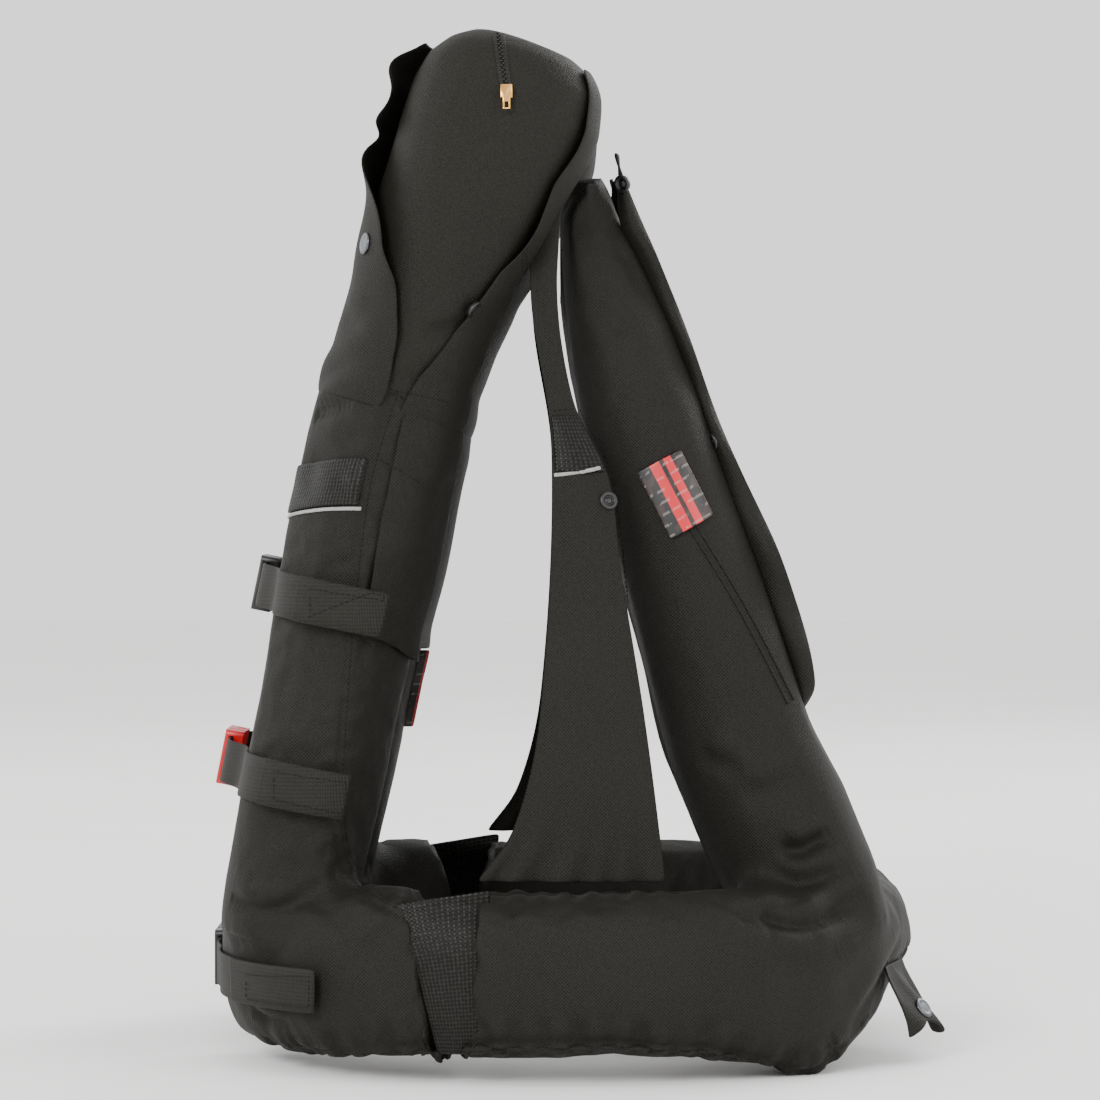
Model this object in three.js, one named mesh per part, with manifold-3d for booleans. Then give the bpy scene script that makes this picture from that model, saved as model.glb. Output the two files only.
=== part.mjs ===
// An inflated buoyancy vest, standing on its waist roll with every gas chamber full.
//
// Millimetres, +Z up. The wearer faces -Y and the wearer's left is +X. The origin is the middle of the
// footprint, on the surface that the hem rests on. Paired pieces are built once, on the wearer's left, and
// hung in a mirrored group for the right.
import * as THREE from 'three';
import { mergeVertices } from 'three/addons/utils/BufferGeometryUtils.js';
import Module from 'manifold-3d';

const wasm = await Module();
wasm.setup();

// Driving dimensions

const jacketHeight = 700; // hem to the top of the collar lobes
const jacketDepth = 480; // over the waist roll, chest to back
const waistWidth = 450; // over the waist roll, side to side
const waistHeight = 129;
const waistThickness = 84;
const frontHemLift = 20; // how far the two front corners clear the surface, less hemFlat
const frontDrop = 7; // how far the front of the roll stays below its sides
const hemArch = 9; // how far the hem arches at each side, less hemFlat
const hemFlat = 4; // how far the roll is pressed flat where it rests
const chestWidth = 120; // of each chest column
const chestDepth = 88;
const lobeDepth = 134; // of each collar lobe
const backWidth = 120; // of each back column
const backDepth = 92;

const clothWall = 2; // a sewn cover: woven cloth with its lining
const meshWall = 3; // spacer mesh
const labelWall = 1;
const labelSize = [33, 48];
const seatGap = 0.5; // between two pieces that lie against each other
const layGap = 1.3; // under cloth laid over a rounded form
const flapGap = 2.2; // under a loose flap
const wingGap = 2; // under the back cover and its wings
const facetSag = 1.4; // how far a lobe's flat facets lie inside its true curve
const cordGap = 2; // between the lever's end and the pull handle's cord

const webWidth = 30; // front straps
const webWall = 2;
const buckleLength = 36; // of the socket half, along the strap
const buckleDepth = 11.4;
const prongReach = 26; // how far the arms go into the socket

const snapCapRadius = 7.5;
const snapRingRadius = 6;
const snapHeight = 2.4;

const cylinderRadius = 13;
const cylinderLength = 104;
const neckRadius = 5;
const neckLength = 12;
const headHeight = 44; // of the firing head under the cylinder
const leverReach = 24;
const leverWidth = 7;
const leverRest = 25; // degrees above level
const leverPlay = 0.4; // on each side of the lever, in its notch
const pullCordLength = 24;
const pocketHeight = 160;
const oralTubeRadius = 7;
const oralTubeLength = 92;

// Colours

const cloth = (color) => new THREE.MeshStandardMaterial({ color, roughness: 0.92, metalness: 0 });
const materials = {
  cover: cloth(0x2b2a27),
  bladder: cloth(0x2e2d2a),
  mesh: cloth(0x1c1b1a),
  webbing: cloth(0x2c2b28),
  label: new THREE.MeshStandardMaterial({ color: 0xd8454c, roughness: 0.6, metalness: 0 }),
  blackPlastic: new THREE.MeshStandardMaterial({ color: 0x1a1a1a, roughness: 0.45, metalness: 0 }),
  redPlastic: new THREE.MeshStandardMaterial({ color: 0xc8201f, roughness: 0.4, metalness: 0 }),
  snapMetal: new THREE.MeshStandardMaterial({ color: 0x6b6c6f, roughness: 0.35, metalness: 0.9 }),
  brass: new THREE.MeshStandardMaterial({ color: 0xd9a45a, roughness: 0.3, metalness: 1 }),
  steel: new THREE.MeshStandardMaterial({ color: 0xb5b7b9, roughness: 0.25, metalness: 1 }),
};

// Shared shape tools

const degrees = THREE.MathUtils.degToRad;
const xAxis = new THREE.Vector3(1, 0, 0);
const { lerp, clamp, smoothstep } = THREE.MathUtils;

// The overall sizes that the stations below are drawn for, and a station moved to the sizes above.
const drawnFor = { width: 450, depth: 480, height: 700 };
function fit(x, y, z) {
  const across = (x * waistWidth) / drawnFor.width;
  return new THREE.Vector3(across, (y * jacketDepth) / drawnFor.depth, (z * jacketHeight) / drawnFor.height);
}

// Position only, shared corners merged, no collapsed triangles, faces out.
function watertight(geometry) {
  const loose = geometry.index ? geometry.toNonIndexed() : geometry;
  const bare = new THREE.BufferGeometry().setAttribute('position', loose.getAttribute('position'));
  const merged = mergeVertices(bare, 1e-3);
  const index = [];
  for (let i = 0; i < merged.index.count; i += 3) {
    const [a, b, c] = [0, 1, 2].map((k) => merged.index.getX(i + k));
    if (a !== b && b !== c && c !== a) index.push(a, b, c);
  }
  const at = (i) => new THREE.Vector3().fromBufferAttribute(merged.attributes.position, i);
  let volume = 0;
  for (let i = 0; i < index.length; i += 3) {
    volume += at(index[i]).dot(at(index[i + 1]).cross(at(index[i + 2])));
  }
  if (volume < 0) index.reverse();
  merged.setIndex(index);
  merged.computeVertexNormals();
  return merged;
}

function toSolid(geometry) {
  const closed = watertight(geometry);
  const vertProperties = new Float32Array(closed.attributes.position.array);
  const triVerts = new Uint32Array(closed.index.array);
  return new wasm.Manifold(new wasm.Mesh({ numProp: 3, vertProperties, triVerts }));
}

// The largest body of a solid, as a geometry.
function toGeometry(solid) {
  const largest = solid.decompose().reduce((a, b) => (a.volume() > b.volume() ? a : b));
  const mesh = largest.getMesh();
  const geometry = new THREE.BufferGeometry();
  const position = new Float32Array(mesh.numVert * 3);
  for (let i = 0; i < mesh.numVert; i++) {
    for (let k = 0; k < 3; k++) position[3 * i + k] = mesh.vertProperties[mesh.numProp * i + k];
  }
  geometry.setAttribute('position', new THREE.BufferAttribute(position, 3));
  geometry.setIndex(new THREE.BufferAttribute(new Uint32Array(mesh.triVerts), 1));
  geometry.computeVertexNormals();
  return geometry;
}

function cut(geometry, ...tools) {
  return toGeometry(tools.reduce((solid, tool) => solid.subtract(toSolid(tool)), toSolid(geometry)));
}

function join(geometry, ...others) {
  return toGeometry(others.reduce((solid, other) => solid.add(toSolid(other)), toSolid(geometry)));
}

// Moves every corner of a geometry by a rule that returns its new place.
function bend(geometry, place) {
  const position = geometry.getAttribute('position');
  for (let i = 0; i < position.count; i++) {
    const to = place(position.getX(i), position.getY(i), position.getZ(i));
    position.setXYZ(i, to.x, to.y, to.z);
  }
  return geometry;
}

// A bent sheet: place(across, along, through) takes three shares from 0 to 1.
function sheet(across, along, place) {
  const slab = new THREE.BoxGeometry(1, 1, 1, across, along, 1).translate(0.5, 0.5, 0.5);
  return watertight(bend(slab, place));
}

// A block with rounded corners, lying in X and Z, its thickness along Y.
function roundedBlock(sizeX, sizeY, sizeZ, radius) {
  const [x, z] = [sizeX / 2, sizeZ / 2];
  const outline = new THREE.Shape();
  [[1, -1], [1, 1], [-1, 1], [-1, -1]].forEach(([sideX, sideZ], quarter) => {
    const start = ((quarter - 1) * Math.PI) / 2;
    outline.absarc(sideX * (x - radius), sideZ * (z - radius), radius, start, start + Math.PI / 2);
  });
  outline.closePath();
  const block = new THREE.ExtrudeGeometry(outline, { depth: sizeY, bevelEnabled: false, curveSegments: 3 });
  return block.translate(0, 0, -sizeY / 2).rotateX(Math.PI / 2);
}

function box(sizeX, sizeY, sizeZ, x = 0, y = 0, z = 0) {
  return new THREE.BoxGeometry(sizeX, sizeY, sizeZ).translate(x, y, z);
}

// A turned piece standing on Z = 0, from [radius, height] pairs.
function turned(pairs, segments = 16) {
  const profile = pairs.map(([radius, height]) => new THREE.Vector2(radius, height));
  return new THREE.LatheGeometry(profile, segments).rotateX(Math.PI / 2);
}

// Limbs: the soft, air-filled forms

// A path with a rounded section. Angle 0 faces outward; 90 degrees faces aft on a column and up on the roll.
// A dome closes the last share of the path.
class Limb {
  constructor(stations, { upright, squareness, dome = 0 }) {
    this.path = new THREE.CatmullRomCurve3(stations.map((s) => s.at), false, 'catmullrom', 0.5);
    this.sizes = new THREE.CatmullRomCurve3(
      stations.map((s) => new THREE.Vector3(s.width / 2, s.depth / 2, 0)), false, 'catmullrom', 0.5);
    Object.assign(this, { upright, squareness, dome });
  }

  // Centre and axes at a share of the path; past either end the path runs straight on.
  frame(share) {
    const t = clamp(share, 0, 1);
    const along = this.path.getTangent(t);
    const centre = this.path.getPoint(t).addScaledVector(along, (share - t) * this.path.getLength());
    if (this.upright) {
      const out = new THREE.Vector3(1, 0, 0).projectOnPlane(along).normalize();
      return { centre, out, aft: along.clone().cross(out), along };
    }
    const up = new THREE.Vector3(0, 0, 1).projectOnPlane(along).normalize();
    return { centre, out: along.clone().cross(up), aft: up, along };
  }

  halfSize(share) {
    return this.sizes.getPoint(clamp(share, 0, 1));
  }

  // How much of its full section the limb has at a share of its path.
  fullness(share) {
    const over = this.dome ? (share - 1 + this.dome) / this.dome : 0;
    return over <= 0 ? 1 : Math.max(0, 1 - over ** 2.6) ** (1 / 2.6);
  }

  // A point on the surface, or part way out from the centreline.
  skin(angle, t, reach = 1) {
    const { centre, out, aft } = this.frame(t);
    const half = this.halfSize(t).multiplyScalar(this.fullness(t) * reach);
    const round = (value) => Math.sign(value) * Math.abs(value) ** (2 / this.squareness);
    return centre
      .addScaledVector(out, half.x * round(Math.cos(angle)))
      .addScaledVector(aft, half.y * round(Math.sin(angle)));
  }

  // Unit vector off the surface.
  normal(angle, t) {
    const step = 0.01;
    const round = this.skin(angle + step, t).sub(this.skin(angle - step, t));
    const along = this.skin(angle, Math.min(t + step, 1)).sub(this.skin(angle, t - step));
    const normal = round.cross(along).normalize();
    const outward = this.skin(angle, t).sub(this.frame(t - this.dome).centre);
    return normal.dot(outward) < 0 ? normal.negate() : normal;
  }

  // A point lifted off the surface.
  point(angle, t, lift = 0) {
    return this.skin(angle, t).addScaledVector(this.normal(angle, t), lift);
  }

  // The share of the path where it reaches a height, for an upright limb.
  shareAt(height) {
    let [low, high] = [0, 1];
    for (let i = 0; i < 30; i++) {
      const middle = (low + high) / 2;
      if (this.path.getPoint(middle).z < height) low = middle;
      else high = middle;
    }
    return (low + high) / 2;
  }
}

// A solid filling a limb between two shares of its path. The slant moves the top of the far end along the
// path.
const endRings = [0.1, 0.35, 0.65]; // rings of a rounded first end
const domeRings = [0.45, 0.75, 0.92]; // rings of a domed last end
function chamber(limb, { from = 0, to = 1, lift = 0, sides = 16, steps = 12, slant = 0, round = 0 }) {
  const profile = [new THREE.Vector2(0, 0)];
  const ringAt = (k) => new THREE.Vector2(Math.sqrt(1 - (1 - k) ** 2), k * round);
  if (round > 0) profile.push(...endRings.map(ringAt));
  const straightEnd = to === 1 && limb.dome ? 1 - limb.dome : to;
  const heightOf = (share) => (share - from) / (to - from);
  for (let i = 0; i <= steps; i++) {
    profile.push(new THREE.Vector2(1, lerp(round, heightOf(straightEnd), i / steps)));
  }
  if (straightEnd < to) {
    domeRings.forEach((k) => profile.push(new THREE.Vector2(1, heightOf(lerp(straightEnd, to, k)))));
  }
  profile.push(new THREE.Vector2(0, 1));
  const wall = 0.999; // share of the section from which a corner counts as lying on the wall
  return watertight(bend(new THREE.LatheGeometry(profile, sides), (x, s, z) => {
    const angle = Math.atan2(z, x);
    const reach = Math.hypot(x, z);
    const t = lerp(from, to + slant * (0.5 + 0.5 * reach * Math.sin(angle)), s);
    const at = reach > wall ? limb.point(angle, t, lift) : limb.skin(angle, t, reach);
    const isPole = reach < 1 - wall && (s === 0 || s === 1);
    if (isPole) at.addScaledVector(limb.frame(t).along, (s * 2 - 1) * lift);
    if (!limb.upright) at.z = Math.max(at.z, 0);
    return at;
  }));
}

// A tube of cloth round a limb, open at both ends.
function sleeve(limb, { from, to, lift, wall, sides = 16, steps = 8 }) {
  const profile = [];
  for (let i = 0; i <= steps; i++) profile.push(new THREE.Vector2(2, i / steps));
  for (let i = steps; i >= 0; i--) profile.push(new THREE.Vector2(1, i / steps));
  profile.push(profile[0].clone());
  const lathe = new THREE.LatheGeometry(profile, sides);
  return watertight(bend(lathe, (x, s, z) => {
    const skin = Math.hypot(x, z) > 1.5 ? lift + wall : lift;
    return limb.point(Math.atan2(z, x), lerp(from, to, s), skin);
  }));
}

// The surface rule of a patch of cloth lying on a limb: (across, along, lift) to a point. Angles are in
// degrees and may depend on the share along the patch.
function patchOn(limb, { from, to, left, right, lift, ripple = () => 0 }) {
  return (u, v, extra) => {
    const angle = degrees(lerp(left(v), right(v), u));
    return limb.point(angle, lerp(from, to, v), lift + ripple(u, v) + extra);
  };
}

// Cloth of one thickness following a surface rule.
function clothOn(surface, across, along, wall = clothWall) {
  return sheet(across, along, (u, v, w) => surface(u, v, w * wall));
}

// Stands a piece that was drawn on Z = 0 on a surface rule.
function standOn(geometry, surface, u, v, lift) {
  const step = 0.02;
  const across = surface(u + step, v, lift).sub(surface(u - step, v, lift));
  const along = surface(u, v + step, lift).sub(surface(u, v - step, lift));
  const out = surface(u, v, lift + 1).sub(surface(u, v, lift));
  const normal = across.cross(along).normalize();
  if (normal.dot(out) < 0) normal.negate();
  const turn = new THREE.Quaternion().setFromUnitVectors(new THREE.Vector3(0, 0, 1), normal);
  const at = surface(u, v, lift);
  return geometry.applyQuaternion(turn).translate(at.x, at.y, at.z);
}

const steady = (value) => () => value;

// The limbs of the vest

const column = (x, y, z, width, depth) => ({ at: fit(x, y, z), width, depth });

const chest = new Limb([
  column(118, -202, 84, chestWidth - 8, chestDepth - 4),
  column(115, -188, 165, chestWidth, chestDepth),
  column(112, -167, 270, chestWidth, chestDepth),
  column(111, -146, 371, chestWidth, chestDepth + 10),
  column(112, -124, 462, chestWidth - 4, chestDepth + 9),
  column(114, -103, 524, chestWidth - 6, chestDepth + 14),
  column(117, -80, 586, chestWidth - 4, lobeDepth - 14),
  column(118, -54, 646, chestWidth - 6, lobeDepth),
  column(118, -38, 698, chestWidth - 14, lobeDepth - 4),
], { upright: true, squareness: 2.2, dome: 0.12 });

const back = new Limb([
  column(98, 166, 84, backWidth, backDepth + 8),
  column(97, 145, 143, backWidth + 2, backDepth + 14),
  column(95, 111, 210, backWidth + 2, backDepth + 8),
  column(93, 89, 290, backWidth, backDepth),
  column(92, 63, 371, backWidth - 2, backDepth - 4),
  column(90, 40, 452, backWidth - 8, backDepth - 10),
  column(86, 20, 519, backWidth - 24, backDepth - 26),
  column(82, 4, 578, backWidth - 52, backDepth - 54),
  column(82, 1, 624, backWidth - 54, backDepth - 58),
], { upright: true, squareness: 2.2 });

// The roll runs from the left front corner round the back to the right front corner: [x, y, foot, top].
const frontTop = waistHeight - frontDrop;
const rollHalf = [
  [38, -203, frontHemLift, frontTop],
  [105, -202, frontHemLift, frontTop],
  [165, -150, frontHemLift * 0.85, waistHeight],
  [185, -42, 0, waistHeight],
  [181, 72, hemArch, waistHeight],
  [130, 158, 0, waistHeight],
  [0, 194, 0, waistHeight],
];
const rollStation = (side) => ([x, y, foot, top]) => {
  const at = fit(x * side, y, 0).setZ((foot + top - hemFlat) / 2);
  return { at, width: waistThickness, depth: top - foot + hemFlat };
};
const roll = new Limb([
  ...rollHalf.map(rollStation(1)),
  ...rollHalf.slice(0, -1).map(rollStation(-1)).reverse(),
], { upright: false, squareness: 3 });
// share of the path at a station's number
const rollShare = (station) => station / (rollHalf.length * 2 - 2);

// Scene graph

const jacket = new THREE.Group();
const left = new THREE.Group();
const right = new THREE.Group();
right.scale.x = -1;
jacket.add(left, right);

function hang(group, name, geometry, material) {
  const mesh = new THREE.Mesh(geometry, material);
  mesh.name = name;
  group.add(mesh);
  return mesh;
}

// One geometry, named for each side of the wearer.
function pair(name, geometry, material, place = () => {}) {
  place(hang(left, `${name}_left`, geometry, material));
  place(hang(right, `${name}_right`, geometry, material));
}

// Waist roll

const rollGap = 1.2 / 230; // 1.2 mm of the roll's path, in stations
const gussetTop = [2.34, 2.72]; // stations where the mesh wedge starts and ends, at the top of the roll
const gussetFoot = 2.68; // and where it starts at the bottom
const backSeam = 4.72; // where the side chamber meets the back chamber

const rollPieces = {
  front: {
    from: 0, to: rollShare(gussetFoot), slant: rollShare(gussetTop[0] - gussetFoot), round: 0.16, steps: 6,
  },
  side: { from: rollShare(gussetTop[1]), to: rollShare(backSeam - rollGap), steps: 6 },
  back: { from: rollShare(backSeam), to: 1 - rollShare(backSeam), steps: 8 },
};

function waistRoll() {
  pair('waist_front_chamber', chamber(roll, rollPieces.front), materials.cover);
  pair('waist_side_chamber', chamber(roll, rollPieces.side), materials.cover);
  hang(jacket, 'waist_back_chamber', chamber(roll, rollPieces.back), materials.cover);
}

// The roll grown by the seat gap, for seating other pieces on it.
function grownRoll() {
  const reach = rollShare(rollGap);
  return Object.values(rollPieces).map((piece) => chamber(roll, {
    ...piece, from: piece.from - reach, to: piece.to + reach, lift: seatGap * 2,
  }));
}

// The wedge of spacer mesh between the front and side chambers of the roll.
function sideGusset() {
  const [low, high] = [degrees(-50), degrees(60)];
  const gusset = sheet(3, 7, (u, v, w) => {
    const height = 0.5 + 0.5 * Math.sin(lerp(low, high, v));
    const start = lerp(rollShare(gussetFoot), rollShare(gussetTop[0]), height) + rollShare(rollGap) * 3;
    const t = lerp(start, rollShare(gussetTop[1] - rollGap * 1.5), u);
    return roll.point(lerp(low, high, v), t, -6 + w * meshWall);
  });
  pair('side_mesh_gusset', gusset, materials.mesh);
}

// Chest columns and collar

const slitFoot = chest.shareAt(fit(0, 0, 462).z); // where the cover's snap slit starts
const coverTop = 0.92;
const coverFace = layGap + clothWall; // lift of the cover's outer face
const flapFace = flapGap + clothWall;

// The slit's two edges, in degrees round the column, from its foot to the top of the cover.
const slitFront = (v) => lerp(-5, -88, smoothstep(v, 0.08, 0.66)) + 22 * smoothstep(v, 0.68, 0.82);
const slitRear = (v) => lerp(5, 42, smoothstep(v, 0.02, 0.6)) + 24 * smoothstep(v, 0.78, 1);

const flapSeamFront = -148; // where each flap is sewn on, clear of the neck chamber
const flapSeamRear = 136;

const flapRange = { from: slitFoot + 0.0012, to: coverTop, lift: flapGap };
const frontFlap = patchOn(chest, {
  ...flapRange, left: slitFront, right: steady(flapSeamFront),
  ripple: (u, v) => 6 * Math.sin(v * Math.PI) * (1 - u) ** 2 * (1 + 0.5 * Math.sin(v * 19)),
});
const rearFlap = patchOn(chest, { ...flapRange, left: slitRear, right: steady(flapSeamRear) });

function chestColumns() {
  pair('chest_bladder', cut(chamber(chest, { sides: 18, steps: 12 }), ...grownRoll()), materials.bladder);
  const cover = sleeve(chest, {
    from: 0, to: slitFoot, lift: layGap * 0.7, wall: clothWall, sides: 18, steps: 7,
  });
  pair('chest_sleeve', cut(cover, ...grownRoll()), materials.cover);
  pair('collar_flap_front', clothOn(frontFlap, 6, 12), materials.cover);
  pair('collar_flap_rear', clothOn(rearFlap, 6, 10), materials.cover);

  const meshPanel = patchOn(chest, {
    from: chest.shareAt(fit(0, 0, 372).z), to: chest.shareAt(fit(0, 0, 408).z),
    left: steady(-84), right: steady(-2), lift: coverFace + seatGap,
  });
  pair('chest_mesh_panel', clothOn(meshPanel, 6, 2, meshWall), materials.mesh);
}

// The part of the collar that passes behind the neck, from lobe to lobe.
function neckChamber() {
  const across = [
    [88, -46, 642, 64], [44, -34, 646, 68], [0, -30, 648, 68], [-44, -34, 646, 68], [-88, -46, 642, 64],
  ];
  const stations = across.map(([x, y, z, size]) => ({ at: fit(x, y, z), width: size, depth: size }));
  const neck = new Limb(stations, { upright: false, squareness: 2.1 });
  const lobe = chamber(chest, { lift: seatGap * 2, sides: 18, steps: 12 });
  return cut(chamber(neck, { sides: 14, steps: 6 }), lobe, lobe.clone().scale(-1, 1, 1));
}

// The slider and pull of the short zip over the top of each lobe, between the two flaps.
function lobeZip() {
  const station = chest.shareAt(fit(0, 0, 656).z);
  const turn = new THREE.Quaternion().setFromUnitVectors(xAxis, chest.normal(0, station));
  const place = (geometry) => {
    const at = chest.point(0, station, seatGap - facetSag);
    return geometry.applyQuaternion(turn).translate(at.x, at.y, at.z);
  };
  const slider = join(box(3, 8, 9, 1.5, 0, 0), box(2.6, 2.4, 5, 3.9, 0, 1));
  pair('collar_zip_slider', place(slider), materials.brass);
  const pull = cut(box(1.4, 5, 16, 6.5, 0, -5), box(4, 2.6, 4, 6.5, 0, -10));
  pair('collar_zip_pull', place(pull), materials.brass);
}

// Back columns, panels and their covers

function backColumns() {
  const top = back.shareAt(fit(0, 0, 604).z);
  const column = chamber(back, { to: top, sides: 16, steps: 11 });
  const lobe = chamber(chest, { lift: flapFace + layGap * 2, sides: 18, steps: 12 });
  pair('back_chamber', cut(column, ...grownRoll(), lobe), materials.cover);

  const lean = degrees(12);
  const label = (u, v, lift) => {
    const [across, up] = [(u - 0.5) * labelSize[0], (v - 0.5) * labelSize[1]];
    const round = (across * Math.cos(lean) - up * Math.sin(lean)) / (backDepth * 0.55);
    const rise = across * Math.sin(lean) + up * Math.cos(lean);
    return back.point(degrees(6) + round, back.shareAt(fit(0, 0, 386).z + rise), 0.9 + lift);
  };
  hang(left, 'size_label', clothOn(label, 4, 4, labelWall), materials.label);
}

// Cloth from shoulder to waist between the arm opening and the back column.
function sidePanels() {
  const rows = [
    [waistHeight + seatGap, -66, 54, 185], [160, -48, 49, 186], [190, -41, 46, 184], [250, -31, 39, 180],
    [330, -25, 27, 172], [406, -21, 14, 162], [485, -25, -10, 150], [535, -33, -16, 138],
    [558, -22, -10, 131],
  ];
  const edge = new THREE.CatmullRomCurve3(rows.map(([z, y0, y1]) => new THREE.Vector3(y0, y1, z)));
  const outward = new THREE.CatmullRomCurve3(rows.map(([z, , , x]) => new THREE.Vector3(x, 0, z)));
  const panelAt = (u, t, lift) => {
    const [y, x] = [edge.getPoint(t), outward.getPoint(t).x];
    const at = fit(x, lerp(y.x, y.y, u), 0);
    at.z = lerp(waistHeight + seatGap, fit(0, 0, 558).z, (y.z - rows[0][0]) / (558 - rows[0][0]));
    at.x += lift + 5 * Math.sin(Math.PI * u) * (1 - t);
    return at;
  };
  const panel = sheet(5, 16, (u, v, w) => panelAt(u, v, (w - 0.5) * clothWall));
  pair('side_panel', panel, materials.cover);
  const insert = sheet(3, 3, (u, v, w) => {
    const lift = clothWall / 2 + seatGap + w * clothWall;
    return panelAt(lerp(0.06, 0.94, u), lerp(0.6, 0.7, v), lift);
  });
  pair('side_mesh_panel', insert, materials.mesh);
}

// The cloth across the back between the two columns, and its two loose wings.
const wingSeam = 96; // degrees round the column
const wingRoom = 5; // degrees that a wing keeps off the seam, to swing
const wingTop = back.shareAt(fit(0, 0, 614).z);
const wingFoot = back.shareAt(fit(0, 0, 236).z);
const wing = patchOn(back, {
  from: wingTop,
  to: wingFoot,
  left: (v) => 50 + 6 * Math.sin(v * 17),
  right: steady(wingSeam - wingRoom),
  lift: wingGap,
  ripple: (u, v) => {
    const ends = Math.sin(Math.PI * clamp(v * 1.1, 0, 1)) ** 0.3;
    return 13 * (1 - u) ** 1.4 * (0.75 + 0.25 * Math.sin(v * 23)) * ends;
  },
});

function backCover() {
  const face = sheet(10, 10, (u, v, w) => {
    const t = lerp(wingTop, wingFoot, v);
    const side = u < 0.5 ? 1 : -1;
    const inward = Math.min(u, 1 - u) * 2; // 0 at the column's seam, 1 at the middle of the back
    const hold = 0.4; // share of the half width that lies on the column
    const skin = back.point(degrees(wingSeam + 40 * Math.min(1, inward / hold)), t, wingGap + w * clothWall);
    const crown = back.point(degrees(90), t, wingGap + w * clothWall);
    const free = clamp((inward - hold) / (1 - hold), 0, 1);
    return new THREE.Vector3(side * skin.x * (1 - free), lerp(skin.y, (skin.y + crown.y) / 2, free), skin.z);
  });
  hang(jacket, 'back_cover', face, materials.cover);
  pair('back_wing', clothOn(wing, 4, 12), materials.cover);
}

// The loose tail of the back cover, hanging below the waist seam on the wearer's left.
function hemTail() {
  const tail = sheet(4, 4, (u, v, w) => {
    const station = lerp(5.1, 5.6, u);
    return roll.point(degrees(lerp(3, -30, v)), rollShare(station), w * clothWall + (16 + 16 * u) * v * v);
  });
  hang(jacket, 'hem_tail', tail, materials.cover);
}

// Snaps

const snapCap = () => turned([
  [0, 0], [snapCapRadius - 0.6, 0], [snapCapRadius, 0.8], [snapCapRadius - 0.6, snapHeight - 0.8],
  [snapCapRadius * 0.6, snapHeight], [0, snapHeight],
]);
const snapSocket = () => turned([
  [0, 0], [snapRingRadius, 0], [snapRingRadius, snapHeight - 0.5], [snapRingRadius - 1, snapHeight],
  [snapRingRadius - 2.6, snapHeight], [snapRingRadius - 3, 1], [0, 1],
]);

function snaps() {
  const pressed = 0.4; // a snap sits this far into the crown of a flap that curves under it
  const seat = clothWall + 0.2;
  pair('snap_cap', standOn(snapCap(), frontFlap, 0.1, 0.38, seat - pressed), materials.snapMetal);
  pair('snap_stud', standOn(snapSocket(), rearFlap, 0.1, 0.3, seat - pressed), materials.blackPlastic);
  hang(left, 'snap_socket_back', standOn(snapSocket(), wing, 0.2, 0.06, seat), materials.blackPlastic);
}

// Front straps and buckles

// Everything on one strap, built in the strap's own frame: X outward, Y aft, Z along the column.
const strapCentre = buckleDepth * 0.16; // the webbing runs this far in front of the buckle's middle
const prongBase = 17;

function socketHalf() {
  const outer = roundedBlock(buckleLength, buckleDepth + 1.6, webWidth + 9, 4)
    .translate(2 - buckleLength / 2, 0, 0);
  const mouth = box(prongReach + 2, 5.2, webWidth, 2 - (prongReach + 2) / 2 + 1, 2.4, 0);
  const barSlot = box(7, webWall + 0.8, webWidth + 0.8, 2 - buckleLength + 2.5, -strapCentre, 0);
  const windowAt = (side) => box(9, 5.2, 8, -prongReach + 10, 2.4, side * (webWidth / 2 + 3));
  return cut(outer, mouth, barSlot, windowAt(1), windowAt(-1));
}

function prongHalf() {
  const base = roundedBlock(prongBase, buckleDepth + 1.6, webWidth + 9, 3)
    .translate(2.5 + prongBase / 2, 0, 0);
  const slot = box(prongBase + 4, webWall + 0.8, webWidth + 0.8, 2.5 + prongBase / 2, -strapCentre, 0);
  const reach = prongReach - 1;
  const arm = (side) => box(reach + 1, 4, 5, 3 - reach / 2, 2.4, side * (webWidth / 2 - 4.2));
  const tip = (side) => box(7, 4, 3.4, 6 - reach, 2.4, side * (webWidth / 2 - 2.4));
  const tongue = box(reach - 6, 3.4, 6, 3 - (reach - 6) / 2, 2.4, 0);
  return join(cut(base, slot), arm(1), arm(-1), tip(1), tip(-1), tongue);
}

// A strap, its loose end and its buckle, across the front from column to column.
const strapLift = 0.7;
const strapFlat = 46; // the webbing is flat and square to the buckle this far from the middle
const strapJoin = 84; // and it has come onto the column by here, or sooner where the column starts sooner
const strapStep = 1.5; // at least this much webbing lies between the column and the flat run

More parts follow.
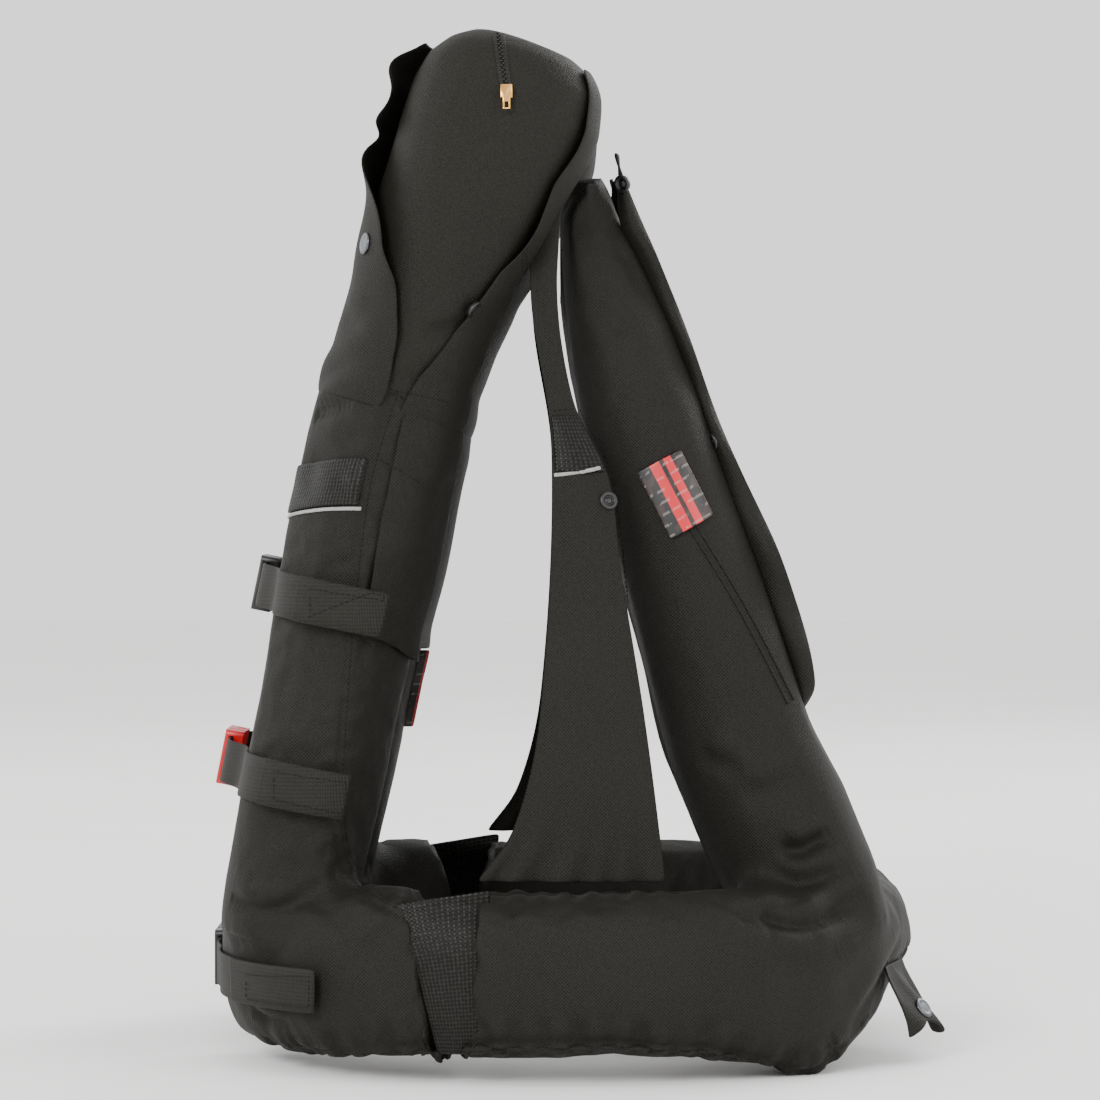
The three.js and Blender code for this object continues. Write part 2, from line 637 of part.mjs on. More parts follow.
// around(angle, rise, lift) is a point on the cover where the webbing crosses a column, and
// front(x, rise, forward) is a point on the flat run between the columns.
function hangStrap(name, { around, front, at, lean, socketMaterial }) {
  const wrap = 0.6; // share of the webbing's rows that lie on the column
  const run = (last, middle, end) => sheet(1, 16, (u, v, w) => {
    const rise = (0.5 - u) * webWidth;
    const leaves = Math.min(strapJoin, around(middle, 0, strapLift).x - strapStep);
    const x = lerp(leaves, end, clamp((v - wrap) / (1 - wrap), 0, 1));
    const angle = lerp(last, middle, clamp(v / wrap, 0, 1));
    if (v < wrap) return around(angle, rise, strapLift + w * webWall);
    const flat = smoothstep(leaves - x, 0, leaves - strapFlat);
    const held = around(middle, rise, strapLift + w * webWall);
    held.x = x;
    return held.lerp(front(x, rise, (w - 0.5) * webWall), flat);
  });
  hang(left, `${name}_strap_left`, run(20, -88, 4), materials.webbing);
  hang(right, `${name}_strap_right`, run(-62, -88, buckleLength - 6.6), materials.webbing);
  const tab = sheet(1, 7, (u, v, w) => {
    const rise = (0.5 - u) * (webWidth + 1);
    return around(lerp(28, -36, v), rise, strapLift + webWall + seatGap + w * (webWall + 0.6));
  });
  hang(left, `${name}_strap_tab`, tab, materials.webbing);

  const buckle = new THREE.Group();
  buckle.position.set(0, at.y, at.z);
  buckle.rotation.x = -lean;
  jacket.add(buckle);
  hang(buckle, `${name}_buckle_socket`, socketHalf().translate(0, strapCentre, 0), socketMaterial);
  hang(buckle, `${name}_buckle_prong`, prongHalf().translate(0, strapCentre, 0), socketMaterial);
}

function chestStrap(name, height, standoff, socketMaterial) {
  const t = chest.shareAt(height);
  const { centre, along } = chest.frame(t);
  const lean = Math.atan2(along.y, along.z);
  const speed = chest.path.getPoint(t + 0.01).distanceTo(chest.path.getPoint(t - 0.01)) / 0.02;
  const forward = new THREE.Vector3(0, -Math.cos(lean), Math.sin(lean));
  const up = new THREE.Vector3(0, Math.sin(lean), Math.cos(lean));
  const at = new THREE.Vector3(0, centre.y, centre.z)
    .addScaledVector(forward, chest.halfSize(t).y + standoff);
  const around = (angle, rise, lift) => chest.point(degrees(angle), t + rise / speed, coverFace + lift);
  const front = (x, rise, push) => (
    at.clone().addScaledVector(up, rise).addScaledVector(forward, push).setX(x)
  );
  hangStrap(name, { around, front, at, lean, socketMaterial });
}

function waistStrap(name, height, standoff, socketMaterial) {
  const face = (t, rise, lift) => {
    const half = roll.halfSize(t);
    const drop = height + rise - roll.path.getPoint(t).z;
    const share = Math.min(1, Math.abs(drop) / (half.y + lift));
    const angle = Math.asin(Math.sign(drop) * share ** (roll.squareness / 2));
    return roll.point(angle, t, lift);
  };
  // The tab's end is at 28 degrees and the flat run starts at -88: here they stand for stations of the roll.
  const around = (angle, rise, lift) => face(rollShare(lerp(0.55, 1.95, (angle + 88) / 116)), rise, lift);
  const at = new THREE.Vector3(0, roll.point(0, rollShare(0.5)).y - standoff, height);
  const front = (x, rise, push) => new THREE.Vector3(x, at.y - push, height + rise);
  hangStrap(name, { around, front, at, lean: 0, socketMaterial });
}

// Inflator, on the inner side of the right column

function inflatorSet() {
  const { centre, along } = chest.frame(chest.shareAt(fit(0, 0, 372).z));
  const lean = Math.atan2(along.y, along.z);
  const setX = centre.x - chestWidth / 2 - cylinderRadius - 6;
  const place = (geometry) => geometry.rotateX(-lean).translate(setX, centre.y, centre.z);
  const sleeveSeat = chamber(chest, { lift: coverFace + seatGap, sides: 18, steps: 12 });

  // The pocket is sewn to the sleeve and open at its foot.
  const caseSize = cylinderRadius * 2 + 4;
  const pocketFoot = -pocketHeight / 2;
  const boreRadius = cylinderRadius + 1;
  const boreTop = -pocketFoot - 12;
  const boreFoot = pocketFoot - 1;
  const bore = turned([[0, boreFoot], [boreRadius, boreFoot], [boreRadius, boreTop], [0, boreTop]]);
  const pocket = box(caseSize + 14, caseSize + 8, pocketHeight, 4, 0, 0);
  hang(right, 'inflator_pocket', cut(place(pocket), place(bore), sleeveSeat), materials.cover);

  const caseTop = pocketFoot - seatGap;
  const foot = caseTop - neckLength * 0.6;
  const top = foot + cylinderLength;
  const r = cylinderRadius;
  const cylinder = turned([
    [0, foot], [neckRadius, foot], [neckRadius, foot + neckLength], [r * 0.8, foot + neckLength + 5],
    [r, foot + neckLength + 14], [r, top - 7], [r * 0.7, top], [0, top],
  ]);
  hang(right, 'gas_cylinder', place(cylinder), materials.steel);

  // The firing head, with the lever in a notch at its foot and the pull handle hanging from the lever.
  const [width, depth] = [caseSize - 4, caseSize - 6];
  const block = roundedBlock(width, depth, headHeight, 6).translate(0, 0, caseTop - headHeight / 2);
  const neckRoom = neckRadius + seatGap;
  const neckSeat = turned([
    [0, foot - seatGap], [neckRoom, foot - seatGap], [neckRoom, caseTop + 1], [0, caseTop + 1],
  ]);
  const pivot = { y: 4.5 - depth / 2, z: caseTop - headHeight + 9 };
  const notch = box(leverWidth + leverPlay * 2, 12, 12, 0, pivot.y - 0.5, pivot.z);
  hang(right, 'inflator_head', place(cut(block, neckSeat, notch)), materials.blackPlastic);

  const lever = box(leverWidth, leverReach + 3, 5, 0, -(leverReach - 3) / 2, 0).rotateX(-degrees(leverRest));
  hang(right, 'inflator_lever', place(lever.translate(0, pivot.y, pivot.z)), materials.redPlastic);

  const tip = new THREE.Vector3(0, 3 - leverReach, -2.5).applyAxisAngle(xAxis, -degrees(leverRest))
    .add(new THREE.Vector3(0, pivot.y, pivot.z)).applyAxisAngle(xAxis, -lean)
    .add(new THREE.Vector3(setX, centre.y, centre.z - cordGap));
  const cord = turned([[0, -pullCordLength - 2], [1.4, -pullCordLength - 2], [1.4, 0], [0, 0]], 8);
  const handle = roundedBlock(14, 7, 28, 4).translate(0, 0, -pullCordLength - 14);
  hang(right, 'pull_handle', join(handle, cord).translate(tip.x, tip.y, tip.z), materials.redPlastic);
}

// Mouth tube on the inner side of the left lobe, with its cap.
function oralTube() {
  const t = chest.shareAt(fit(0, 0, 536).z);
  const { along } = chest.frame(t);
  const at = chest.point(Math.PI, t, oralTubeRadius + 2.4);
  const lean = Math.atan2(along.y, along.z);
  const place = (geometry) => geometry.rotateX(-lean).translate(at.x, at.y, at.z);
  const [r, half] = [oralTubeRadius, oralTubeLength / 2];
  const tube = turned([[0, -half], [r + 1, -half], [r + 1, 8 - half], [r, 10 - half], [r, half], [0, half]]);
  const cap = turned([[0, half - 8], [r + 2, half - 8], [r + 2, half + 5], [r, half + 7], [0, half + 7]]);
  const [boreFoot, boreTop, boreRadius] = [half - 9, half + seatGap, r + seatGap];
  const bore = turned([[0, boreFoot], [boreRadius, boreFoot], [boreRadius, boreTop], [0, boreTop]]);
  hang(left, 'oral_tube', place(tube), materials.blackPlastic);
  hang(left, 'oral_tube_cap', place(cut(cap, bore)), materials.redPlastic);
}

// The whole vest

waistRoll();
sideGusset();
chestColumns();
hang(jacket, 'neck_chamber', neckChamber(), materials.bladder);
lobeZip();
backColumns();
sidePanels();
backCover();
hemTail();

chestStrap('top', fit(0, 0, 312).z, 22, materials.blackPlastic);
chestStrap('middle', fit(0, 0, 189).z, 24, materials.redPlastic);
waistStrap('bottom', 60, 7, materials.blackPlastic);
inflatorSet();
oralTube();

snaps();

// The origin is the middle of the footprint, on the surface.
const bounds = new THREE.Box3().setFromObject(jacket);
const middle = bounds.getCenter(new THREE.Vector3());
jacket.position.set(-middle.x, -middle.y, -bounds.min.z);

export default jacket;
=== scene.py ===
# An inflated buoyancy vest: air chambers, sewn cloth, webbing and fittings, built around the CAD frame.
# The wearer's left is +X and the wearer faces -Y. Lengths in the dictionaries are millimetres.
import math

import bmesh
import bpy
import numpy as np
from mathutils import Matrix, Vector, noise
from mathutils.bvhtree import BVHTree


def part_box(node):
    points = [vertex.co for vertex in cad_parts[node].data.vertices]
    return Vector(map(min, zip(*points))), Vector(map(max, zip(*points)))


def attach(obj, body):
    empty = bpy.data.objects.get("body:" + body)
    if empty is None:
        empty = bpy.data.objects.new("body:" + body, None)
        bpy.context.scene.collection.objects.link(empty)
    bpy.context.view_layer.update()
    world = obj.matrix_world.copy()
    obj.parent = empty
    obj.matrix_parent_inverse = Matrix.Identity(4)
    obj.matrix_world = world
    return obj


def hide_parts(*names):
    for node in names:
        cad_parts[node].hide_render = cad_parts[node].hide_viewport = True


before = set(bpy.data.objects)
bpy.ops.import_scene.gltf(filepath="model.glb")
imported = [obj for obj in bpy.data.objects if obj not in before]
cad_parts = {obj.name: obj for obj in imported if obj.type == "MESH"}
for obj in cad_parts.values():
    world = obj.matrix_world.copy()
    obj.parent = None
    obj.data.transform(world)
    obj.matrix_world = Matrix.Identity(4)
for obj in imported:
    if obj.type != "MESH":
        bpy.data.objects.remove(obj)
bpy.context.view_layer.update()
scene = bpy.context.scene
mm = 0.001
sides = {"left": 1, "right": -1}


# small tools

def lerp(a, b, t):
    return a + (b - a) * t


def smoothStep(value, low, high):
    t = min(1, max(0, (value - low) / (high - low)))
    return t * t * (3 - 2 * t)


def read(table, at):
    # a value read off a short table of [place, value] rows
    return float(np.interp(at, [row[0] for row in table], [row[1] for row in table]))


def curve(table, at):
    # the same, on a smooth curve through the rows
    places = [row[0] for row in table]
    at = min(max(at, places[0]), places[-1])
    k = min(max(int(np.searchsorted(places, at)) - 1, 0), len(table) - 2)
    (x0, y0), (x1, y1) = table[k], table[k + 1]
    before, after = table[max(k - 1, 0)], table[min(k + 2, len(table) - 1)]
    span = x1 - x0
    slope0 = (y1 - before[1]) / (x1 - before[0]) * span
    slope1 = (after[1] - y0) / (after[0] - x0) * span
    t = (at - x0) / span
    return ((2 * t ** 3 - 3 * t ** 2 + 1) * y0 + (t ** 3 - 2 * t ** 2 + t) * slope0
            + (3 * t ** 2 - 2 * t ** 3) * y1 + (t ** 3 - t ** 2) * slope1)


def bake(piece):
    # swaps a piece's mesh for the one its modifiers make
    graph = bpy.context.evaluated_depsgraph_get()
    mesh = bpy.data.meshes.new_from_object(piece.evaluated_get(graph))
    piece.modifiers.clear()
    piece.data = mesh
    return piece


def newPiece(name, points, faces, flat=None):
    mesh = bpy.data.meshes.new(name)
    mesh.from_pydata([tuple(p) for p in points], [], faces)
    if flat is not None:
        layer = mesh.uv_layers.new(name="flat")
        for loop in mesh.loops:
            layer.data[loop.index].uv = flat[loop.vertex_index]
    mesh.update()
    piece = bpy.data.objects.new(name, mesh)
    scene.collection.objects.link(piece)
    return piece


def finished(piece, body, material, replaces=(), smooth=True):
    for polygon in piece.data.polygons:
        polygon.use_smooth = smooth
    piece.data.materials.clear()
    piece.data.materials.append(material)
    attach(piece, body)
    if replaces:
        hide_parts(*replaces)
    return piece


def treeOf(*pieces):
    made = bmesh.new()
    for piece in pieces:
        made.from_mesh(piece.data)
    tree = BVHTree.FromBMesh(made)
    made.free()
    return tree


def fromSide(tree, side, y, z, lift=0.0, start=0.4):
    # the first cloth met when looking at the vest from its side, at y and z in metres
    place, normal, _, _ = tree.ray_cast(Vector((side * start, y, z)), Vector((-side, 0, 0)))
    if place is None:
        return None, None
    if normal.x * side < 0:
        normal = -normal
    return place + normal * lift, normal


def pathOn(tree, side, rows, lift=0.0, step=0.003):
    # a line drawn on the cloth through [y, z] rows, as points and normals
    rows = [Vector((y, z)) * mm for y, z in rows]
    points, normals = [], []
    for a, b in zip(rows, rows[1:]):
        count = max(1, round((b - a).length / step))
        for i in range(count):
            at = a.lerp(b, i / count)
            place, normal = fromSide(tree, side, at.x, at.y, lift)
            if place:
                points.append(place)
                normals.append(normal)
    return points, normals


def smoothRows(rows, count=24):
    # rounds off a short list of rows
    points = [Vector((*row, 0)) if len(row) == 2 else Vector(row) for row in rows]
    out = []
    for i in range(count):
        t = i / (count - 1) * (len(points) - 1)
        k = min(int(t), len(points) - 2)
        t -= k
        a, b, c, d = (points[min(max(j, 0), len(points) - 1)] for j in (k - 1, k, k + 1, k + 2))
        square = 2 * a - 5 * b + 4 * c - d
        cube = 3 * b - a - 3 * c + d
        p = 0.5 * (2 * b + (c - a) * t + square * t ** 2 + cube * t ** 3)
        out.append(tuple(p)[: len(rows[0])])
    return out


# materials

def linear(hexColour):
    parts = [int(hexColour[i:i + 2], 16) / 255 for i in (1, 3, 5)]
    return (*[p / 12.92 if p <= 0.04045 else ((p + 0.055) / 1.055) ** 2.4 for p in parts], 1)


def addNode(tree, kind, settings=None, links=None):
    # links maps an input's name or number to a value or to another node's output
    node = tree.nodes.new("ShaderNode" + kind)
    for key, value in (settings or {}).items():
        setattr(node, key, value)
    for key, value in (links or {}).items():
        if isinstance(value, bpy.types.NodeSocket):
            tree.links.new(value, node.inputs[key])
        else:
            node.inputs[key].default_value = value
    return node


def newMaterial(name, **fixed):
    material = bpy.data.materials.new(name)
    material.use_nodes = True
    tree = material.node_tree
    shader = tree.nodes["Principled BSDF"]
    for key, value in fixed.items():
        shader.inputs[key.replace("_", " ")].default_value = value
    return material, tree, shader


# sizes in mm; a noise size is the width of one lump
clothLook = {"grain": 1 / 0.7, "cloud": 1000 / 9, "weaveShare": 0.5, "grainShare": 1.2, "reliefShare": 0.75,
             "cloudShare": 0.3, "relief": 0.45, "sheenTint": "#77736b"}
webbingLook = {"rib": 1.8, "row": 2.6, "slant": 1.3, "fuzz": 1 / 0.9, "ribShare": 0.22, "rowShare": 0.14,
               "relief": 0.5, "dark": "#0d0c0a", "light": "#25231e"}
# in meshLook the hole colour is partly the dark layer beneath and partly painted shade inside the holes
meshLook = {"pitch": 2.7, "hole": 0.3, "net": 0.48, "relief": 1.2, "coreAndHoleShade": "#020202", "yarn": "#1f1e1a"}
# in plasticLook the last two entries paint a highlight on sharp edges: how much of it and how much lighter
plasticLook = {"grain": 1 / 1.4, "relief": 0.1, "paintedEdgeHighlight": 0.35, "edgeHighlightLift": 2.2}
labelLook = {"width": 33, "block": 1000 / 95, "bar": 1000 / 42, "dash": 1000 / 160, "black": "#0d0a0a",
             "blackWorn": "#2a1a18", "red": "#b3141f", "pale": "#98908a", "paleShare": 0.3}


def wovenCloth(name, dark, light, threadMm, roughness, sheen):
    # woven polyester: matt, dark, with a fine grid of threads that catch a little light at grazing angles;
    # the thread pair is drawn about three times coarser than the real one so that it shows
    material, tree, shader = newMaterial(
        name, Roughness=roughness, Sheen_Weight=sheen, Sheen_Roughness=0.45, Specular_IOR_Level=0.12)
    shader.inputs["Sheen Tint"].default_value = linear(clothLook["sheenTint"])
    place = addNode(tree, "TexCoord").outputs["Object"]
    pitch = 2 * math.pi / (threadMm * mm)
    turn = addNode(tree, "VectorMath", {"operation": "SCALE"}, {0: place, "Scale": pitch})
    wave = addNode(tree, "VectorMath", {"operation": "SINE"}, {0: turn.outputs[0]})
    waves = addNode(tree, "SeparateXYZ", None, {0: wave.outputs[0]}).outputs
    facing = addNode(tree, "NewGeometry").outputs["Normal"]
    square = addNode(tree, "VectorMath", {"operation": "MULTIPLY"}, {0: facing, 1: facing}).outputs[0]
    share = addNode(tree, "SeparateXYZ", None, {0: square}).outputs
    times, plus = {"operation": "MULTIPLY"}, {"operation": "ADD"}
    weave = None
    for k in range(3):
        grid = addNode(tree, "Math", times, {0: waves[(k + 1) % 3], 1: waves[(k + 2) % 3]}).outputs[0]
        part = addNode(tree, "Math", times, {0: grid, 1: share[k]}).outputs[0]
        weave = part if weave is None else addNode(tree, "Math", plus, {0: weave, 1: part}).outputs[0]
    grain = addNode(tree, "TexNoise", None,
                    {"Vector": place, "Scale": 1 / (clothLook["grain"] * mm), "Detail": 2.0}).outputs["Fac"]
    cloudy = addNode(tree, "TexNoise", None,
                     {"Vector": place, "Scale": 1 / (clothLook["cloud"] * mm), "Detail": 5.0}).outputs["Fac"]
    threads = addNode(tree, "Math", times, {0: weave, 1: clothLook["weaveShare"]}).outputs[0]
    fuzz = addNode(tree, "Math", times, {0: grain, 1: clothLook["grainShare"]}).outputs[0]
    height = addNode(tree, "Math", plus, {0: threads, 1: fuzz}).outputs[0]
    relief = addNode(tree, "Math", times, {0: height, 1: clothLook["reliefShare"]}).outputs[0]
    clouds = addNode(tree, "Math", times, {0: cloudy, 1: clothLook["cloudShare"]}).outputs[0]
    tone = addNode(tree, "Math", plus, {0: relief, 1: clouds}).outputs[0]
    ramp = addNode(tree, "ValToRGB", None, {"Fac": tone})
    ramp.color_ramp.elements[0].position = 0.2
    ramp.color_ramp.elements[0].color = linear(dark)
    ramp.color_ramp.elements[1].position = 0.85
    ramp.color_ramp.elements[1].color = linear(light)
    tree.links.new(ramp.outputs["Color"], shader.inputs["Base Color"])
    bump = addNode(tree, "Bump", None,
                   {"Strength": 0.8, "Distance": clothLook["relief"] * mm, "Height": height})
    tree.links.new(bump.outputs["Normal"], shader.inputs["Normal"])
    return material


def webbingCloth():
    # flat woven polyester webbing: close ribs across the strap, tighter and a little shinier than the cover;
    # the ribs are drawn at 1.8 mm, about twice the real pitch, so that they show
    material, tree, shader = newMaterial("polyesterWebbing", Roughness=0.6, Specular_IOR_Level=0.16)
    place = addNode(tree, "TexCoord").outputs["Object"]
    parts = addNode(tree, "SeparateXYZ", None, {0: place}).outputs
    times, plus, sine = ({"operation": kind} for kind in ("MULTIPLY", "ADD", "SINE"))
    slanted = addNode(tree, "Math", times, {0: parts[1], 1: webbingLook["slant"]}).outputs[0]
    along = addNode(tree, "Math", plus, {0: parts[0], 1: slanted}).outputs[0]
    weave = addNode(tree, "TexNoise", None,
                    {"Vector": place, "Scale": 1 / (webbingLook["fuzz"] * mm), "Detail": 2.0}).outputs["Fac"]
    for run, pitch, share in ((along, "rib", "ribShare"), (parts[2], "row", "rowShare")):
        turn = addNode(tree, "Math", times, {0: run, 1: 2 * math.pi / (webbingLook[pitch] * mm)}).outputs[0]
        wave = addNode(tree, "Math", sine, {0: turn}).outputs[0]
        ridge = addNode(tree, "Math", times, {0: wave, 1: webbingLook[share]}).outputs[0]
        weave = addNode(tree, "Math", plus, {0: weave, 1: ridge}).outputs[0]
    ramp = addNode(tree, "ValToRGB", None, {"Fac": weave})
    ramp.color_ramp.elements[0].position = 0.1
    ramp.color_ramp.elements[0].color = linear(webbingLook["dark"])
    ramp.color_ramp.elements[1].color = linear(webbingLook["light"])
    tree.links.new(ramp.outputs["Color"], shader.inputs["Base Color"])
    bump = addNode(tree, "Bump", None,
                   {"Strength": 0.7, "Distance": webbingLook["relief"] * mm, "Height": weave})
    tree.links.new(bump.outputs["Normal"], shader.inputs["Normal"])
    return material


def meshCloth():
    # knitted spacer mesh: staggered open holes in a glossy monofilament net, the holes painted near black
    # for the dark layer beneath and the shade inside them
    material, tree, shader = newMaterial("spacerMesh", Roughness=0.5, Specular_IOR_Level=0.2)
    flat = addNode(tree, "TexCoord").outputs["UV"]
    cells = addNode(tree, "TexVoronoi", {"feature": "F1", "distance": "EUCLIDEAN"},
                    {"Vector": flat, "Scale": 1 / (meshLook["pitch"] * mm), "Randomness": 0.12})
    ramp = addNode(tree, "ValToRGB", None, {"Fac": cells.outputs["Distance"]})
    ramp.color_ramp.elements[0].position = meshLook["hole"]
    ramp.color_ramp.elements[0].color = (0, 0, 0, 1)
    ramp.color_ramp.elements[1].position = meshLook["net"]
    ramp.color_ramp.elements[1].color = (1, 1, 1, 1)
    colour = addNode(tree, "Mix", {"data_type": "RGBA"}, {"Factor": ramp.outputs["Color"]})
    # painted shade: the holes take a near-black colour for the dark layer beneath and the shade inside them
    colour.inputs[6].default_value = linear(meshLook["coreAndHoleShade"])
    colour.inputs[7].default_value = linear(meshLook["yarn"])
    tree.links.new(colour.outputs[2], shader.inputs["Base Color"])
    bump = addNode(tree, "Bump", None,
                   {"Strength": 1.0, "Distance": meshLook["relief"] * mm, "Height": ramp.outputs["Color"]})
    tree.links.new(bump.outputs["Normal"], shader.inputs["Normal"])
    return material


def mouldedPlastic(name, colour, roughness):
    # injection moulded acetal: even colour, a faint spark-eroded grain and a painted highlight that lightens
    # its sharp edges
    material, tree, shader = newMaterial(name, Roughness=roughness, IOR=1.45)
    place = addNode(tree, "TexCoord").outputs["Object"]
    fine = 1 / (plasticLook["grain"] * mm)
    grain = addNode(tree, "TexNoise", None, {"Vector": place, "Scale": fine, "Detail": 2.0}).outputs["Fac"]
    edge = addNode(tree, "NewGeometry").outputs["Pointiness"]
    # painted highlight: sharp convex edges are lightened in the base colour
    paintedEdgeHighlight = addNode(tree, "MapRange", None,
                   {"Value": edge, "From Min": 0.5, "From Max": 0.62, "To Max": plasticLook["paintedEdgeHighlight"]})
    mix = addNode(tree, "Mix", {"data_type": "RGBA"}, {"Factor": paintedEdgeHighlight.outputs[0]})
    mix.inputs[6].default_value = linear(colour)
    mix.inputs[7].default_value = (
        *[min(1, c * plasticLook["edgeHighlightLift"] + 0.02) for c in linear(colour)[:3]], 1)
    tree.links.new(mix.outputs[2], shader.inputs["Base Color"])
    bump = addNode(tree, "Bump", None,
                   {"Strength": 0.25, "Distance": plasticLook["relief"] * mm, "Height": grain})
    tree.links.new(bump.outputs["Normal"], shader.inputs["Normal"])
    return material


def platedMetal(name, colour, roughness, streakMm):
    # plated metal: the base colour is the plating's, with fine handling scratches in its gloss
    material, tree, shader = newMaterial(name, Metallic=1.0)
    place = addNode(tree, "TexCoord").outputs["Object"]
    scratches = addNode(tree, "TexNoise", None,
                        {"Vector": place, "Scale": 1 / (streakMm * mm), "Detail": 6.0}).outputs["Fac"]
    gloss = addNode(tree, "MapRange", None,
                    {"Value": scratches, "To Min": roughness * 0.75, "To Max": roughness * 1.35})
    tree.links.new(gloss.outputs[0], shader.inputs["Roughness"])
    tint = addNode(tree, "ValToRGB", None, {"Fac": scratches})
    tint.color_ramp.elements[0].color = tuple(c * 0.8 for c in linear(colour)[:3]) + (1,)
    tint.color_ramp.elements[1].color = linear(colour)
    tree.links.new(tint.outputs["Color"], shader.inputs["Base Color"])
    return material


def labelSatin():
    # printed satin: a red field with black blocks and pale bars, and no lettering
    material, tree, shader = newMaterial("printedSatin", Roughness=0.42, Specular_IOR_Level=0.5)
    flat = addNode(tree, "TexCoord").outputs["UV"]
    parts = addNode(tree, "SeparateXYZ", None, {0: flat}).outputs
    times = {"operation": "MULTIPLY"}
    blocks = addNode(tree, "TexNoise", None,
                     {"Vector": flat, "Scale": 1 / (labelLook["block"] * mm), "Detail": 1.0}).outputs["Fac"]
    field = addNode(tree, "ValToRGB", None, {"Fac": blocks})
    field.color_ramp.interpolation = "CONSTANT"
    field.color_ramp.elements[0].color = linear(labelLook["black"])
    field.color_ramp.elements[1].position = 0.5
    field.color_ramp.elements[1].color = linear(labelLook["blackWorn"])
    along = addNode(tree, "Math", times, {0: parts[0], 1: 1 / (labelLook["width"] * mm)}).outputs[0]
    band = addNode(tree, "ValToRGB", None, {"Fac": along})
    band.color_ramp.interpolation = "CONSTANT"
    band.color_ramp.elements[0].color = (0, 0, 0, 1)
    band.color_ramp.elements[1].position = 0.3
    band.color_ramp.elements[1].color = (1, 1, 1, 1)
    for position, value in ((0.52, 0), (0.62, 1), (0.8, 0)):
        band.color_ramp.elements.new(position).color = (value, value, value, 1)
    red = addNode(tree, "Mix", {"data_type": "RGBA"}, {"Factor": band.outputs["Color"]})
    tree.links.new(field.outputs["Color"], red.inputs[6])
    red.inputs[7].default_value = linear(labelLook["red"])
    bars = addNode(tree, "TexWave", {"bands_direction": "Y"},
                   {"Vector": flat, "Scale": 1 / (labelLook["bar"] * mm)}).outputs["Fac"]
    thin = addNode(tree, "MapRange", None, {"Value": bars, "From Min": 0.86, "From Max": 0.9})
    dashes = addNode(tree, "TexNoise", None,
                     {"Vector": flat, "Scale": 1 / (labelLook["dash"] * mm)}).outputs["Fac"]
    cutUp = addNode(tree, "MapRange", None, {"Value": dashes, "From Min": 0.5, "From Max": 0.52})
    printed = addNode(tree, "Math", times, {0: thin.outputs[0], 1: cutUp.outputs[0]}).outputs[0]
    faint = addNode(tree, "Math", times, {0: printed, 1: labelLook["paleShare"]}).outputs[0]
    top = addNode(tree, "Mix", {"data_type": "RGBA"}, {"Factor": faint})
    tree.links.new(red.outputs[2], top.inputs[6])
    top.inputs[7].default_value = linear(labelLook["pale"])
    tree.links.new(top.outputs[2], shader.inputs["Base Color"])
    return material


materials = {
    # plain-woven outer shell: almost black, no shine
    "cover": wovenCloth("wovenPolyester", "#0c0b09", "#1f1e1a", 2.3, 0.6, 0.02),
    # air-holding cloth, coated inside: a finer weave and a slightly smoother face
    "bladder": wovenCloth("coatedNylon", "#0c0b09", "#1f1e19", 2.0, 0.56, 0.02),
    "webbing": webbingCloth(),
    "mesh": meshCloth(),
    "label": labelSatin(),
    # moulded acetal: a soft highlight, even colour
    "black": mouldedPlastic("blackAcetal", "#0b0b0b", 0.38),
    "red": mouldedPlastic("redAcetal", "#b30f12", 0.36),
    # dark nickel over brass: a grey metal with a blurred reflection
    "snap": platedMetal("gunmetalCap", "#5d5f63", 0.34, 1000 / 300),
    # lacquered brass: warm yellow, the sharpest highlight here
    "brass": platedMetal("brassPlate", "#d9a864", 0.28, 1000 / 400),
    # zinc-plated steel: cool pale grey with broad cloudy streaks
    "steel": platedMetal("zincPlate", "#b9bcbf", 0.3, 1000 / 120),
    # glass-bead tape folded over cord: light grey from every side
    "piping": wovenCloth("reflectivePiping", "#6d6d6b", "#a5a5a2", 0.9, 0.45, 0.05),
    # bonded polyester thread: dark and close-twisted
    "thread": wovenCloth("bondedThread", "#0b0a09", "#1b1a17", 0.6, 0.6, 0.02),
}
print("materials made")


# soft bodies: the CAD chambers joined, remeshed, swollen by cloth simulation and sewn in along their seams

softSettings = {"voxel": 5.0, "overlap": 1.4, "blendRounds": 6, "pressure": 4.0, "frames": 20,
                "swellOver": 0.5, "seamHold": 4, "mass": 0.25, "stretch": 18, "shear": 8, "bend": 0.4,
                "settle": 7.5, "settleBelow": 120}


def joinedChambers(name, nodes, shape):
    made = bmesh.new()
    for node in nodes:
        part = bmesh.new()
        part.from_mesh(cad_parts[node].data)
        bmesh.ops.remove_doubles(part, verts=part.verts, dist=0.02 * mm)
        part.normal_update()
        for corner, push in [(v, v.normal.copy()) for v in part.verts]:
            corner.co += push * softSettings["overlap"] * mm
        loose = bpy.data.meshes.new("loose")
        part.to_mesh(loose)
        part.free()
        made.from_mesh(loose)
    mesh = bpy.data.meshes.new(name)
    made.to_mesh(mesh)
    made.free()
    piece = bpy.data.objects.new(name, mesh)
    scene.collection.objects.link(piece)
    remesh = piece.modifiers.new("remesh", "REMESH")
    remesh.mode = "VOXEL"
    remesh.voxel_size = softSettings["voxel"] * mm
    soften = piece.modifiers.new("soften", "SMOOTH")
    soften.factor = 0.5
    soften.iterations = softSettings["blendRounds"]
    bake(piece)
    for corner in piece.data.vertices:
        corner.co = shape(corner.co)
    return piece


def cornersOf(piece):
    flat = np.empty(len(piece.data.vertices) * 3)
    piece.data.vertices.foreach_get("co", flat)
    return flat.reshape(-1, 3)


def normalsOf(piece):
    flat = np.empty(len(piece.data.vertices) * 3)
    piece.data.vertices.foreach_get("normal", flat)
    return flat.reshape(-1, 3)


def moveTo(piece, corners):
    piece.data.vertices.foreach_set("co", np.ascontiguousarray(corners).ravel())
    piece.data.update()


